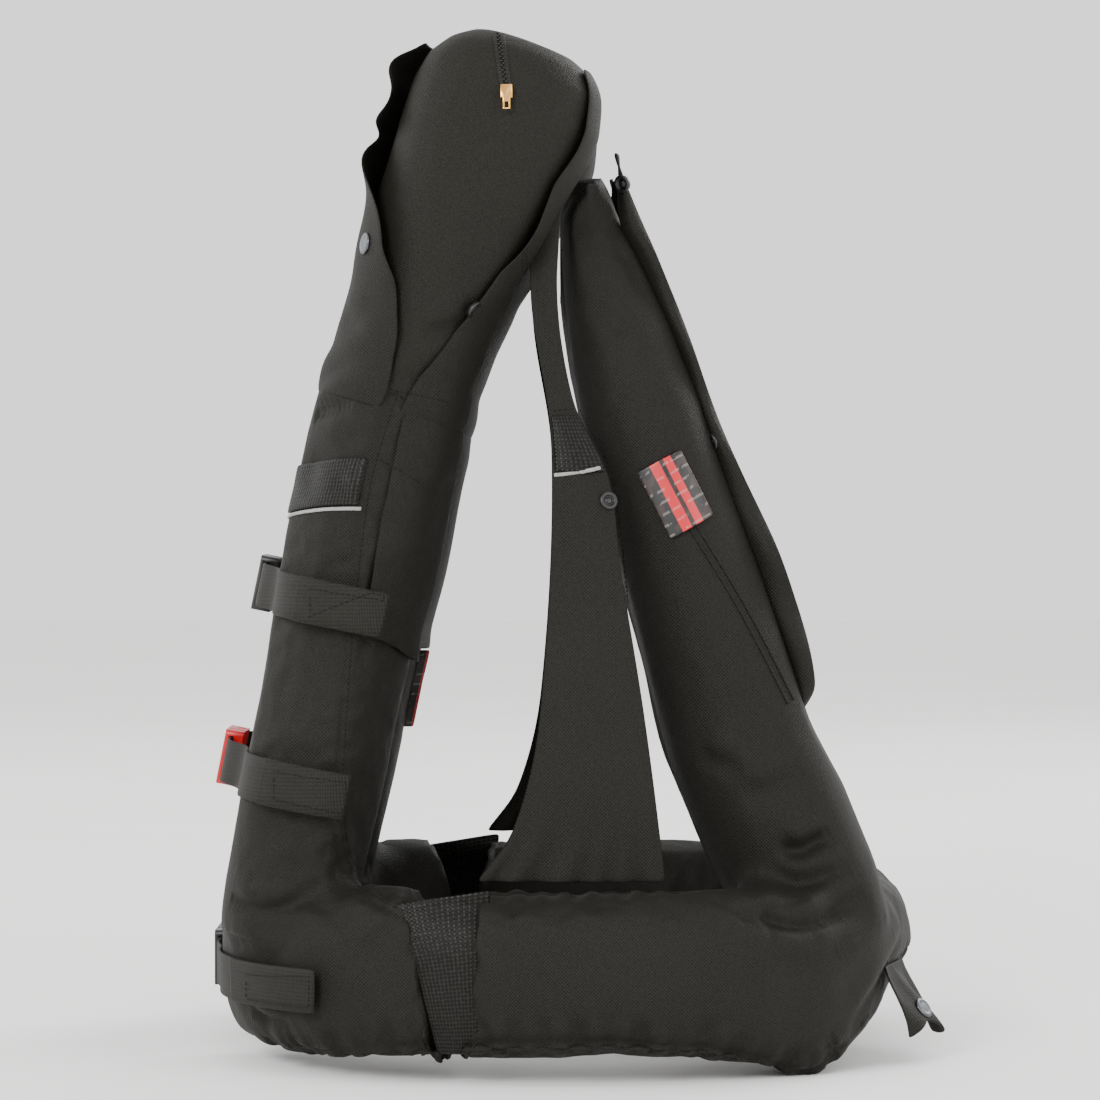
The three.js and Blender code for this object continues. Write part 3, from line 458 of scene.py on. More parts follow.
def swell(piece, held, cap, growth):
    # the chamber starts small, swells back under pressure, and stays where its seams hold it
    soft = softSettings
    moveTo(piece, cornersOf(piece) - normalsOf(piece) * (cap - soft["swellOver"]) * mm)
    held = [treeOf(piece).find_nearest(p)[0] for p in held]
    group = piece.vertex_groups.new(name="seams")
    near = distanceTo(cornersOf(piece), held)[0]
    group.add([int(i) for i in np.nonzero(near < soft["seamHold"] * mm)[0]], 1.0, "REPLACE")
    cloth = piece.modifiers.new("swell", "CLOTH")
    settings = cloth.settings
    settings.quality = 5
    settings.mass = soft["mass"]
    settings.tension_stiffness = soft["stretch"]
    settings.compression_stiffness = soft["stretch"]
    settings.shear_stiffness = soft["shear"]
    settings.bending_stiffness = soft["bend"]
    settings.use_pressure = True
    settings.uniform_pressure_force = soft["pressure"]
    settings.effector_weights.gravity = 0
    settings.shrink_min = -growth
    settings.vertex_group_mass = "seams"
    cloth.point_cache.frame_start = 1
    cloth.point_cache.frame_end = soft["frames"]
    before = cornersOf(piece)
    for number in range(1, soft["frames"] + 1):
        scene.frame_set(number)
    graph = bpy.context.evaluated_depsgraph_get()
    after = cornersOf(piece.evaluated_get(graph))
    move = after - before
    length = np.linalg.norm(move, axis=1, keepdims=True)
    move *= np.minimum(1, cap * mm / np.maximum(length, 1e-9))
    piece.modifiers.remove(cloth)
    scene.frame_set(1)
    moveTo(piece, before + move)
    print(piece.name, "swelled by up to", round(float(length.max()) / mm, 1), "mm")
    settle(piece)


def settle(piece):
    # the hem comes down again to where it rests
    corners = cornersOf(piece)
    share = np.clip(1 - corners[:, 2] / (softSettings["settleBelow"] * mm), 0, 1)
    corners[:, 2] -= softSettings["settle"] * mm * share ** 1.5
    moveTo(piece, corners)


def distanceTo(corners, line):
    # each corner's distance to a line of points, and where on the line it is nearest
    points = np.array([tuple(p) for p in line])
    steps = np.linalg.norm(np.diff(points, axis=0), axis=1)
    runs = np.concatenate([[0], np.cumsum(np.minimum(steps, 0.02))])
    best = np.full(len(corners), 9.0)
    where = np.zeros(len(corners))
    low = points.min(axis=0) - 0.04
    high = points.max(axis=0) + 0.04
    inside = np.nonzero(np.all((corners > low) & (corners < high), axis=1))[0]
    for chunk in np.array_split(inside, max(1, len(inside) // 4000)):
        if not len(chunk):
            continue
        gaps = np.linalg.norm(corners[chunk, None, :] - points[None, :, :], axis=2)
        nearest = gaps.argmin(axis=1)
        best[chunk] = gaps[np.arange(len(chunk)), nearest]
        where[chunk] = runs[nearest]
    return best, where


def seam(piece, line, depth, width, pucker=0.0, pitch=14.0):
    # a sewn line: a narrow valley with small puckers pulling into it from both sides
    corners = cornersOf(piece)
    normals = normalsOf(piece)
    near, run = distanceTo(corners, line)
    valley = depth * np.exp(-((near / (width * mm)) ** 2))
    beat = np.sin(2 * np.pi * run / (pitch * mm)) + 0.6 * np.sin(2 * np.pi * run / (pitch * 1.7 * mm) + 1.3)
    wide = np.exp(-(((near - 2.2 * width * mm) / (2.2 * width * mm)) ** 2))
    moveTo(piece, corners - normals * ((valley + pucker * beat * wide) * mm)[:, None])


def fold(piece, side, rows, depth, width, tree):
    # a crease with a soft swelling on its upper side
    line, _ = pathOn(tree, side, smoothRows(rows, 14))
    if len(line) < 2:
        return
    corners = cornersOf(piece)
    normals = normalsOf(piece)
    near, run = distanceTo(corners, line)
    fade = np.clip(np.minimum(run, run.max() - run) / (0.25 * run.max() + 1e-6), 0, 1)
    fade = np.where(near < 1, fade, 0)
    shifted, _ = distanceTo(corners, [p + Vector((0, 0, width * 1.6 * mm)) for p in line])
    crease = depth * np.exp(-((near / (width * mm)) ** 2))
    swelling = 0.6 * depth * np.exp(-((shifted / (width * 1.5 * mm)) ** 2))
    moveTo(piece, corners + normals * (((swelling - crease) * fade) * mm)[:, None])


def subdivided(piece):
    piece.modifiers.new("fine", "SUBSURF").levels = 1
    return bake(piece)


def mirroredMesh(piece):
    mesh = piece.data.copy()
    mesh.transform(Matrix.Scale(-1, 4, Vector((1, 0, 0))))
    mesh.flip_normals()
    return mesh


def mirroredCopy(piece, name):
    copy = bpy.data.objects.new(name, mirroredMesh(piece))
    scene.collection.objects.link(copy)
    return copy


def wrinkled(piece, amount, size, seed, where=None):
    # low, drawn-out unevenness of filled cloth
    corners = cornersOf(piece)
    normals = normalsOf(piece)
    lift = np.array([noise.noise(Vector((x / size, y / size, z / (size * 1.7))) / mm + Vector((seed, 0, 0)))
                     for x, y, z in corners])
    if where is not None:
        lift *= where(corners)
    moveTo(piece, corners + normals * (lift * amount * mm)[:, None])


def columnCentre(node, low, high, count=10):
    corners = np.array([v.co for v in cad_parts[node].data.vertices])
    heights = np.linspace(low * mm, high * mm, count)
    rows = []
    for height in heights:
        band = corners[abs(corners[:, 2] - height) < 0.032]
        rows.append((band.min(axis=0) + band.max(axis=0)) / 2)
    rows = np.array(rows)

    def centre(z):
        x = abs(np.interp(z, heights, rows[:, 0]))
        y = np.interp(z, heights, rows[:, 1])
        return Vector((x, y, z))
    return centre


def onColumn(tree, centre, side, degrees, z, lift=0.0, rise=0.0):
    # a point on the cloth round a column: 0 degrees faces outward and 90 aft; rise runs along the column
    axis = (centre(z + 0.02) - centre(z - 0.02)).normalized()
    middle = centre(z) + axis * rise
    out = Vector((1, 0, 0))
    aft = axis.cross(out)
    way = out * math.cos(math.radians(degrees)) + aft * math.sin(math.radians(degrees))
    flip = Vector((side, 1, 1))
    middle, way = middle * flip, way * flip
    hit, normal, _, _ = tree.ray_cast(middle + way * columnReach, -way, columnReach)
    if hit is None:
        return middle + way * (columnRadius + lift), way
    if normal.dot(way) < 0:
        normal = -normal
    return hit + normal * lift, normal


columnReach = 0.15  # a ray starts this far out from a column's middle, in metres
columnRadius = 0.05  # where a point stands if the ray meets no cloth
chestCentre = columnCentre("chest_bladder_left", 150, 670)
backCentre = columnCentre("back_chamber_left", 150, 590)

# where the hem of the roll runs above the surface, from front to back
hemLine = [[-250, 12], [-228, 6], [-205, 10], [-140, 20], [-80, 25], [20, 27], [80, 23], [120, 12], [150, 0],
           [160, 4], [180, 22], [202, 42], [227, 72], [262, 112]]
chestSeams = {
    "column": [[-124, 456], [-143, 390], [-155, 285], [-163, 170]],
    "armhole": [[-163, 170], [-158, 140], [-145, 124], [-112, 109]],
    "yoke": [[-133, 409], [-114, 398], [-96, 386]],
    "sleeveHem": [[-152, 300], [-137, 287], [-118, 286]],
}
chestCloth = {"cap": 5, "growth": 0.012, "wrinkle": 1.6, "wrinkleSize": 42, "hem": (2.2, 4, 1.4, 19)}
rearCloth = {"cap": 6, "growth": 0.015, "wrinkle": 1.8, "wrinkleSize": 46, "hem": (2.0, 3.6, 1.6, 21),
             "topSeamX": 188, "topSeam": (2.0, 3.5, 1.0, 16)}
# creases pressed into the filled cloth: [y, z] rows as seen from the side
chestFolds = [
    {"rows": [[-236, 118], [-222, 112], [-205, 112], [-188, 118], [-170, 130]], "depth": 5, "width": 6},
    {"rows": [[-225, 104], [-200, 100], [-175, 104]], "depth": 2.5, "width": 9},
    {"rows": [[-222, 40], [-206, 34], [-190, 36]], "depth": 5, "width": 6},
    {"rows": [[-168, 160], [-150, 96], [-120, 76]], "depth": 4, "width": 12},
    {"rows": [[-196, 150], [-176, 120], [-150, 104]], "depth": 4, "width": 9},
    {"rows": [[-190, 436], [-172, 446], [-150, 449]], "depth": 4.5, "width": 7},
    {"rows": [[-176, 500], [-160, 506], [-140, 500]], "depth": 3.5, "width": 8},
    {"rows": [[-186, 452], [-166, 470], [-146, 474]], "depth": 4.0, "width": 7},
    {"rows": [[-108, 500], [-92, 496], [-70, 510]], "depth": 3.0, "width": 7},
    {"rows": [[-166, 396], [-140, 372], [-118, 366]], "depth": 2.5, "width": 9},
]
rearFolds = [
    {"rows": [[132, 150], [150, 150], [172, 164]], "depth": 9, "width": 7},
    {"rows": [[104, 120], [128, 108], [158, 104], [196, 122]], "depth": 9, "width": 8},
    {"rows": [[120, 84], [150, 78], [186, 92]], "depth": 4, "width": 10},
    {"rows": [[126, 136], [150, 128], [186, 140]], "depth": 6, "width": 6},
    {"rows": [[62, 132], [90, 122], [122, 104]], "depth": 5, "width": 7},
    {"rows": [[176, 20], [200, 52], [226, 84]], "depth": 3.5, "width": 8},
    {"rows": [[108, 186], [130, 190], [152, 206]], "depth": 4.5, "width": 9},
    {"rows": [[80, 214], [96, 206], [112, 206]], "depth": 3, "width": 8},
    {"rows": [[20, 560], [34, 545], [44, 520]], "depth": 3.5, "width": 8},
    {"rows": [[6, 520], [20, 505], [36, 500]], "depth": 2.5, "width": 9},
]


def hemShape(point):
    # gathers the underside of the roll up to its hem line
    low = read(hemLine, point.y / mm) * mm
    if point.z < low and (abs(point.x) > 0.02 or point.y > 0):
        point = Vector((point.x, point.y, low + (point.z - low) * 0.12))
    return point


def makeChest():
    piece = joinedChambers("chest_cover_left", ["chest_bladder_left", "chest_sleeve_left",
                                                "waist_front_chamber_left"], hemShape)
    tree = treeOf(piece)
    held = []
    for name in ("column", "armhole", "yoke"):
        held += pathOn(tree, 1, smoothRows(chestSeams[name]))[0]
    held += hemPath(tree, -235, -85)
    swell(piece, held, chestCloth["cap"], chestCloth["growth"])
    subdivided(piece)
    tree = treeOf(piece)
    for name, depth, width, pucker in (("column", 1.6, 3.0, 0.5), ("armhole", 1.8, 3.5, 0.6),
                                       ("yoke", 1.2, 2.6, 0.3), ("sleeveHem", 1.5, 2.4, 0.2)):
        seam(piece, pathOn(tree, 1, smoothRows(chestSeams[name]))[0], depth, width, pucker)
    for crease in chestFolds:
        fold(piece, 1, crease["rows"], crease["depth"], crease["width"], tree)
    seam(piece, hemPath(tree, -232, -88), *chestCloth["hem"])
    wrinkled(piece, chestCloth["wrinkle"], chestCloth["wrinkleSize"], 3)
    return piece


def hemPath(tree, front, rear):
    line = []
    for y in np.arange(front, rear, 3.0):
        z = (read(hemLine, y) + 3) * mm
        place, _ = fromSide(tree, 1, y * mm, z)
        if place:
            line.append(place)
    return line


def topSeamPath(tree, side, places):
    # where the side panel is sewn to the top of the roll
    x = side * rearCloth["topSeamX"] * mm
    hits = [tree.ray_cast(Vector((x, y * mm, 0.2)), Vector((0, 0, -1)))[0] for y in places]
    return [hit for hit in hits if hit]


def makeRear():
    nodes = ["waist_side_chamber_left", "waist_side_chamber_right", "waist_back_chamber",
             "back_chamber_left", "back_chamber_right"]
    piece = joinedChambers("back_and_waist_cover", nodes, hemShape)
    tree = treeOf(piece)
    held = []
    for side in (1, -1):
        held += topSeamPath(tree, side, range(-70, 70, 3))
        held += [Vector((p.x * side, p.y, p.z)) for p in hemPath(tree, -70, 150)]
    swell(piece, held, rearCloth["cap"], rearCloth["growth"])
    subdivided(piece)
    tree = treeOf(piece)
    for side in (1, -1):
        seam(piece, topSeamPath(tree, side, range(-70, 66, 2)), *rearCloth["topSeam"])
        low = [Vector((p.x * side, p.y, p.z)) for p in hemPath(tree, -70, 175)]
        seam(piece, low, *rearCloth["hem"])
        for crease in rearFolds:
            fold(piece, side, crease["rows"], crease["depth"], crease["width"], tree)
    wrinkled(piece, rearCloth["wrinkle"], rearCloth["wrinkleSize"], 11)
    return piece


def split(piece, height, name):
    # parts the collar lobe from the cover at the foot of the slit
    middle = chestCentre(height)
    axis = (chestCentre(height + 0.02) - chestCentre(height - 0.02)).normalized()
    upper = piece.copy()
    upper.data = piece.data.copy()
    upper.name = name
    scene.collection.objects.link(upper)
    for target, keepUp in ((piece, False), (upper, True)):
        made = bmesh.new()
        made.from_mesh(target.data)
        bmesh.ops.bisect_plane(made, geom=made.verts[:] + made.edges[:] + made.faces[:], plane_co=middle,
                               plane_no=axis, clear_inner=keepUp, clear_outer=not keepUp)
        rim = [e for e in made.edges if e.is_boundary]
        bmesh.ops.holes_fill(made, edges=rim, sides=0)
        made.to_mesh(target.data)
        made.free()
    return upper


slitFoot = 454.5  # height of the slit's foot
chestLeft = makeChest()
chestRight = mirroredCopy(chestLeft, "chest_cover_right")
rearCover = makeRear()
bodyTrees = {"left": treeOf(chestLeft), "right": treeOf(chestRight)}
rearTree = treeOf(rearCover)
lobeLeft = split(chestLeft, slitFoot * mm, "collar_lobe_left")
lobeRight = mirroredCopy(lobeLeft, "collar_lobe_right")
chestRight.data = mirroredMesh(chestLeft)
for sideName, cover, upper in (("left", chestLeft, lobeLeft), ("right", chestRight, lobeRight)):
    finished(cover, "vest", materials["cover"],
             [f"chest_sleeve_{sideName}", f"waist_front_chamber_{sideName}"])
    finished(upper, "vest", materials["bladder"], [f"chest_bladder_{sideName}"])
finished(rearCover, "vest", materials["cover"],
         ["waist_side_chamber_left", "waist_side_chamber_right", "waist_back_chamber", "back_chamber_left",
          "back_chamber_right"])
neck = joinedChambers("neck_roll", ["neck_chamber"], lambda p: p)
subdivided(neck)
wrinkled(neck, 1.5, 30, 5)
finished(neck, "vest", materials["bladder"], ["neck_chamber"])
print("chambers made")


# sheets: flaps, panels, wings and covers

def sheet(name, rule, across, count, body, material, wall, replaces=()):
    # a cloth sheet from rule(u, v) on a grid; its flat size is the mean width and length of that grid
    rows = [[Vector(rule(i / across, j / count)) for i in range(across + 1)] for j in range(count + 1)]
    widths = [sum((a - b).length for a, b in zip(row, row[1:])) for row in rows]
    lengths = [sum((rows[j][i] - rows[j + 1][i]).length for j in range(count)) for i in range(across + 1)]
    cut = (float(np.mean(widths)), float(np.mean(lengths)))
    flat = [(cut[0] * i / across, cut[1] * j / count) for j in range(count + 1) for i in range(across + 1)]
    faces = [(j * (across + 1) + i, j * (across + 1) + i + 1, (j + 1) * (across + 1) + i + 1,
              (j + 1) * (across + 1) + i) for j in range(count) for i in range(across)]
    piece = newPiece(name, [p for row in rows for p in row], faces, flat)
    solid = piece.modifiers.new("wall", "SOLIDIFY")
    solid.thickness = wall * mm
    solid.offset = 0
    piece.modifiers.new("fine", "SUBSURF").levels = 1
    bake(piece)
    finished(piece, body, material, replaces)
    print(name, "cut", round(cut[0] / mm), "x", round(cut[1] / mm), "mm")
    return piece


# the slit's flaps: the free edge as [height, angle round the column], and how far it stands off
frontFlap = {
    "edge": [[443, -7], [470, -9], [491, -12], [526, -23], [553, -40], [575, -63], [592, -80], [612, -87],
             [628, -72], [645, -76], [669, -82], [690, -84]],
    "lift": [[443, 0.6], [480, 3], [520, 5], [550, 8], [575, 15], [600, 17], [620, 12], [640, 9], [665, 13],
             [690, 7]],
    "seam": -138, "ease": 2.4, "waves": (7, 17),
}
rearFlap = {
    "edge": [[443, 4], [470, 8], [491, 18], [515, 28], [539, 39], [563, 47], [591, 50], [612, 47], [628, 55],
             [653, 60], [676, 64]],
    "lift": [[443, 0.6], [480, 2], [540, 3.5], [600, 5], [640, 4], [676, 2]],
    "seam": 140, "ease": 1.4, "waves": (9, 23),
}


def flapRule(tree, side, flap):
    low, high = flap["edge"][0][0], flap["edge"][-1][0]

    def rule(u, v):
        z = lerp(low, high, v)
        edge = read(flap["edge"], z)
        angle = lerp(edge, flap["seam"], u)
        free = (1 - u) ** 1.8
        wave = 1 + 0.3 * math.sin(z / flap["waves"][0]) + 0.22 * math.sin(z / flap["waves"][1] + 1)
        lift = flap["ease"] + read(flap["lift"], z) * free * wave
        lift *= smoothStep(v, -0.02, 0.05)
        point, _ = onColumn(tree, chestCentre, side, angle, z * mm, lift * mm)
        return point
    return rule


for sideName, side in sides.items():
    tree = bodyTrees[sideName]
    sheet(f"collar_flap_front_{sideName}_cloth", flapRule(tree, side, frontFlap), 14, 44,
          f"front_flap_{sideName}", materials["cover"], 1.4,
          [f"collar_flap_front_{sideName}"])
    sheet(f"collar_flap_rear_{sideName}_cloth", flapRule(tree, side, rearFlap), 12, 40,
          "vest", materials["cover"], 1.4,
          [f"collar_flap_rear_{sideName}"])

# side panel, as [height, place]: its front and rear edges, and how far out it hangs
panelFront = [[130, -70], [165, -45], [240, -27], [420, -19], [520, -33], [600, -30]]
panelRear = [[130, 57], [240, 43], [340, 27], [400, 19], [450, -4], [520, -15], [600, -12]]
panelOut = [[130, 187], [200, 187], [400, 164], [600, 124]]
panel = {"low": 131, "high": 585, "gather": 3.2, "gatherReach": 24, "belly": 5, "curl": 2.5,
         "meshLow": 403, "meshHigh": 441, "meshLift": 1.9}
chestPanel = {"angles": (-84, -8), "low": 384, "high": 416, "drop": (20, 5), "lift": 1.3}


def panelRule(side):
    def rule(u, v):
        z = lerp(panel["low"], panel["high"], v)
        y = lerp(curve(panelFront, z), curve(panelRear, z), u)
        fade = math.exp(-(z - panel["low"]) / panel["gatherReach"])
        gather = fade * panel["gather"] * math.sin(u * 34 + 1.5 * math.sin(u * 9))
        belly = panel["belly"] * math.sin(math.pi * u) * (1 - v) + 1.5 * math.sin(z / 31 + u * 3)
        curl = panel["curl"] * math.sin(z / 23) * u ** 4
        return Vector((side * (curve(panelOut, z) + gather + belly + curl), y, z)) * mm
    return rule


def panelEdgeRows(edge, low, high):
    return [(curve(edge, z), z) for z in np.linspace(low, high, 12)]


for sideName, side in sides.items():
    sheet(f"side_panel_{sideName}_cloth", panelRule(side), 24, 64, "vest",
          materials["cover"], 1.6, [f"side_panel_{sideName}"])

    def meshRule(u, v, side=side):
        z = lerp(panel["meshLow"], panel["meshHigh"], v)
        point = panelRule(side)(lerp(0.05, 0.98, u), (z - panel["low"]) / (panel["high"] - panel["low"]))
        return point + Vector((side * panel["meshLift"] * mm, 0, 0))
    sheet(f"side_mesh_{sideName}_cloth", meshRule, 12, 12, "vest", materials["mesh"], 1.8,
          [f"side_mesh_panel_{sideName}"])

    def chestMesh(u, v, side=side, tree=bodyTrees[sideName]):
        z = lerp(chestPanel["low"], chestPanel["high"], v) - lerp(*chestPanel["drop"], u)
        angle = lerp(*chestPanel["angles"], u)
        return onColumn(tree, chestCentre, side, angle, z * mm, chestPanel["lift"] * mm)[0]
    sheet(f"chest_mesh_{sideName}_cloth", chestMesh, 16, 10, "vest", materials["mesh"], 2.2,
          [f"chest_mesh_panel_{sideName}"])

gusset = {"front": [[20, -94], [60, -104], [83, -110], [105, -119], [122, -124]],
          "rear": [[20, -64], [74, -62], [110, -60], [139, -58]], "rise": (20, 118, 128), "out": 205,
          "dip": 2, "under": 2.5}


def gussetRule(side, node):
    # bridges the notch between the front chamber and the side chamber
    tree = treeOf(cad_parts[node])
    low, frontTop, rearTop = gusset["rise"]

    def rule(u, v):
        z = lerp(low, lerp(frontTop, rearTop, u), v)
        y = lerp(read(gusset["front"], z), read(gusset["rear"], z), u)
        place = tree.find_nearest(Vector((side * gusset["out"] * mm, y * mm, z * mm)))[0]
        sunk = gusset["under"] * abs(2 * u - 1) ** 3 + gusset["dip"] * math.sin(math.pi * u) * v
        return Vector((place.x - side * sunk * mm, y * mm, z * mm))
    return rule


for sideName, side in sides.items():
    node = f"side_mesh_gusset_{sideName}"
    sheet(f"waist_gusset_{sideName}_cloth", gussetRule(side, node), 10, 26, "vest",
          materials["mesh"], 2.0, [node])

# the free edge of a wing, as [height, place]
wingEdge = [[236, 150], [258, 162], [340, 140], [430, 99], [520, 66], [620, 24]]
wingCut = {"top": 622, "foot": 238, "rootTop": 575, "rootAngles": (64, 84), "stand": (8, 3), "belly": 6,
           "wave": 3.2, "longWave": 2.5}
for sideName, side in sides.items():
    def wingRule(u, v, side=side):
        z = lerp(wingCut["top"], wingCut["foot"], v)
        angle = lerp(*wingCut["rootAngles"], v)
        root, _ = onColumn(rearTree, backCentre, side, angle, min(z, wingCut["rootTop"]) * mm, 1.2 * mm)
        root.z = z * mm
        stand = lerp(*wingCut["stand"], v)
        free = Vector((root.x + side * stand * mm, curve(wingEdge, z) * mm, z * mm))
        point = root.lerp(free, u)
        wave = wingCut["wave"] * math.sin(z / 11 + u * 2) * u
        wave += wingCut["longWave"] * math.sin(z / 27 + 1) * u
        point.x += side * (wave + wingCut["belly"] * math.sin(math.pi * u)) * mm
        return point
    sheet(f"back_wing_{sideName}_cloth", wingRule, 12, 60, f"wing_{sideName}",
          materials["cover"], 1.6, [f"back_wing_{sideName}"])

backCover = {"top": 606, "foot": 240, "rootTop": 580, "angles": (86, 138), "lift": 1.4, "sag": 6,
             "wave": 2.5}


def backCoverRule(u, v):
    # wraps each back column from its side and spans the gap between them
    z = lerp(backCover["top"], backCover["foot"], v)
    side = 1 if u < 0.5 else -1
    inward = min(u, 1 - u) * 2
    angle = lerp(*backCover["angles"], min(1, inward / 0.5))
    height = min(z, backCover["rootTop"]) * mm
    on, _ = onColumn(rearTree, backCentre, side, angle, height, backCover["lift"] * mm)
    on.z = z * mm
    free = smoothStep(inward, 0.45, 1)
    on.x *= 1 - min(1, max(0, (inward - 0.5) / 0.5))
    on.y += (backCover["sag"] * free + backCover["wave"] * math.sin(z / 29 + u * 7) * free) * mm
    return on


sheet("back_cover_cloth", backCoverRule, 40, 44, "vest", materials["cover"], 1.8,
      ["back_cover"])


tail = {"inner": 64, "outer": 120, "top": 66, "drop": 44, "skew": 8, "flare": 26, "flareWave": 12, "tuck": 7}


def tailRule(u, v):
    x = lerp(tail["inner"], tail["outer"], u)
    hit = rearTree.ray_cast(Vector((x * mm, 0.4, tail["top"] * mm)), Vector((0, -1, 0)))[0]
    drop = tail["drop"] * v + 6 * math.sin(u * 7) * v
    flare = (tail["flare"] + tail["flareWave"] * math.sin(u * 3.4)) * v ** 1.4
    out = (1.5 + flare - tail["tuck"] * v ** 3) * mm
    wave = 3 * math.sin(u * 13 + v * 3) * v * mm
    return Vector((x * mm + tail["skew"] * mm * v, hit.y + out + wave, hit.z - drop * mm))


sheet("hem_tail_cloth", tailRule, 18, 14, "tail", materials["cover"], 1.6,
      ["hem_tail"])
print("sheets made")


# the loose lower part of the sleeve: its hem is [angle round the column, height]
sleeveFlap = {"angles": (8, 128), "top": 446, "hem": [[8, 300], [50, 290], [80, 285], [128, 284]],
              "lift": 2.0, "hemCurl": 2.2, "hemWave": 1.6}
for sideName, side in sides.items():
    def sleeveRule(u, v, side=side, tree=bodyTrees[sideName]):
        angle = lerp(*sleeveFlap["angles"], u)
        z = lerp(sleeveFlap["top"], read(sleeveFlap["hem"], angle), v)
        lift = sleeveFlap["lift"] * smoothStep(v, 0, 0.15) + sleeveFlap["hemCurl"] * v ** 8
        lift += sleeveFlap["hemWave"] * math.sin(u * 11 + 1) * v ** 6
        return onColumn(tree, chestCentre, side, angle, z * mm, (0.5 + lift) * mm)[0]
    sheet(f"sleeve_flap_{sideName}_cloth", sleeveRule, 16, 26, "vest", materials["cover"],
          1.4)

label = {"lift": 2.4, "curl": 1.2, "wall": 0.5}
farLabel = {"top": 283, "foot": 226, "angle": 96, "width": (-5, 7)}
labelPoints = [v.co.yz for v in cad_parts["size_label"].data.vertices]
labelCorners = [min(labelPoints, key=lambda p: p.x), max(labelPoints, key=lambda p: p.y),
                max(labelPoints, key=lambda p: p.x), min(labelPoints, key=lambda p: p.y)]


def labelRule(u, v):
    a, b, c, d = labelCorners
    at = a.lerp(b, u).lerp(d.lerp(c, u), v)
    lift = label["lift"] + label["curl"] * math.sin(u * 3) * v
    return fromSide(rearTree, 1, at.x, at.y, lift * mm)[0]


sheet("size_label_satin", labelRule, 10, 14, "vest", materials["label"], label["wall"],
      ["size_label"])


def farLabelRule(u, v):
    z = lerp(farLabel["top"], farLabel["foot"], v) * mm
    root = onColumn(bodyTrees["right"], chestCentre, -1, farLabel["angle"], z)[0]
    return root + Vector((0.002 * math.sin(v * 5), lerp(*farLabel["width"], u) * mm, 0))


sheet("care_label_satin", farLabelRule, 6, 14, "vest", materials["label"], label["wall"])
print("labels and sleeve flaps made")


# trim: pipings, stitches, zip tapes and snaps

def tubeAlong(name, points, normals, radius, body, material, flatten=1.0, sidesOf=10):
    # a round or flattened cord of cloth along a line that lies on the vest
    verts, faces = [], []
    for k, (point, normal) in enumerate(zip(points, normals)):
        ahead = (points[min(k + 1, len(points) - 1)] - points[max(k - 1, 0)]).normalized()
        across = ahead.cross(normal).normalized()
        up = across.cross(ahead)
        for j in range(sidesOf):
            turn = 2 * math.pi * j / sidesOf
            verts.append(point + across * math.cos(turn) * radius + up * math.sin(turn) * radius * flatten)
    for k in range(len(points) - 1):
        for j in range(sidesOf):
            a, b = k * sidesOf + j, k * sidesOf + (j + 1) % sidesOf
            faces.append((a, b, b + sidesOf, a + sidesOf))
    last = (len(points) - 1) * sidesOf
    faces.append(tuple(range(sidesOf))[::-1])
    faces.append(tuple(last + j for j in range(sidesOf)))
    return finished(newPiece(name, verts, faces), body, material)


stitch = {"length": 2.6, "pitch": 3.9, "radius": 0.3, "sides": 5}


def stitchRow(name, lines, body):
    # thread dashes lying on the cloth, half sunk; one piece for all rows on one body
    verts, faces = [], []
    for points, normals in lines:
        run, due = 0.0, 0.0
        for k in range(len(points) - 1):
            step = points[k + 1] - points[k]
            if step.length > 0.02 or step.length < 1e-7:
                continue
            ahead = step.normalized()
            while due <= run + step.length:
                middle = points[k] + ahead * (due - run)
                across = ahead.cross(normals[k]).normalized()
                base = len(verts)
                for part, size in ((-1, 0.4), (-0.6, 1), (0.6, 1), (1, 0.4)):
                    centre = middle + ahead * part * stitch["length"] / 2 * mm
                    for j in range(stitch["sides"]):
                        turn = 2 * math.pi * j / stitch["sides"]
                        spoke = across * math.cos(turn) + normals[k] * math.sin(turn)
                        verts.append(centre + spoke * stitch["radius"] * size * mm)
                for ring in range(3):
                    for j in range(stitch["sides"]):
                        a = base + ring * stitch["sides"] + j
                        b = base + ring * stitch["sides"] + (j + 1) % stitch["sides"]
                        faces.append((a, b, b + stitch["sides"], a + stitch["sides"]))
                faces.append(tuple(base + j for j in range(stitch["sides"]))[::-1])
                faces.append(tuple(base + 3 * stitch["sides"] + j for j in range(stitch["sides"])))
                due += stitch["pitch"] * mm
            run += step.length
    return finished(newPiece(name, verts, faces), body, materials["thread"])


def besides(rows, shift):
    # a copy of a line of [y, z] rows, moved sideways by shift
    out = []
    for k, (y, z) in enumerate(rows):
        ahead = Vector(rows[min(k + 1, len(rows) - 1)]) - Vector(rows[max(k - 1, 0)])
        ahead.normalize()
        out.append((y - ahead.y * shift, z + ahead.x * shift))
    return out


def coverTree(sideName):
    # every cloth that a trim line may lie on, seen from one side
    names = [f"chest_cover_{sideName}", f"collar_lobe_{sideName}", "back_and_waist_cover"]
    names += [f"{part}_{sideName}_cloth" for part in ("collar_flap_front", "collar_flap_rear", "side_panel",
                                                      "side_mesh", "chest_mesh", "sleeve_flap")]
    return treeOf(*[bpy.data.objects[name] for name in names])


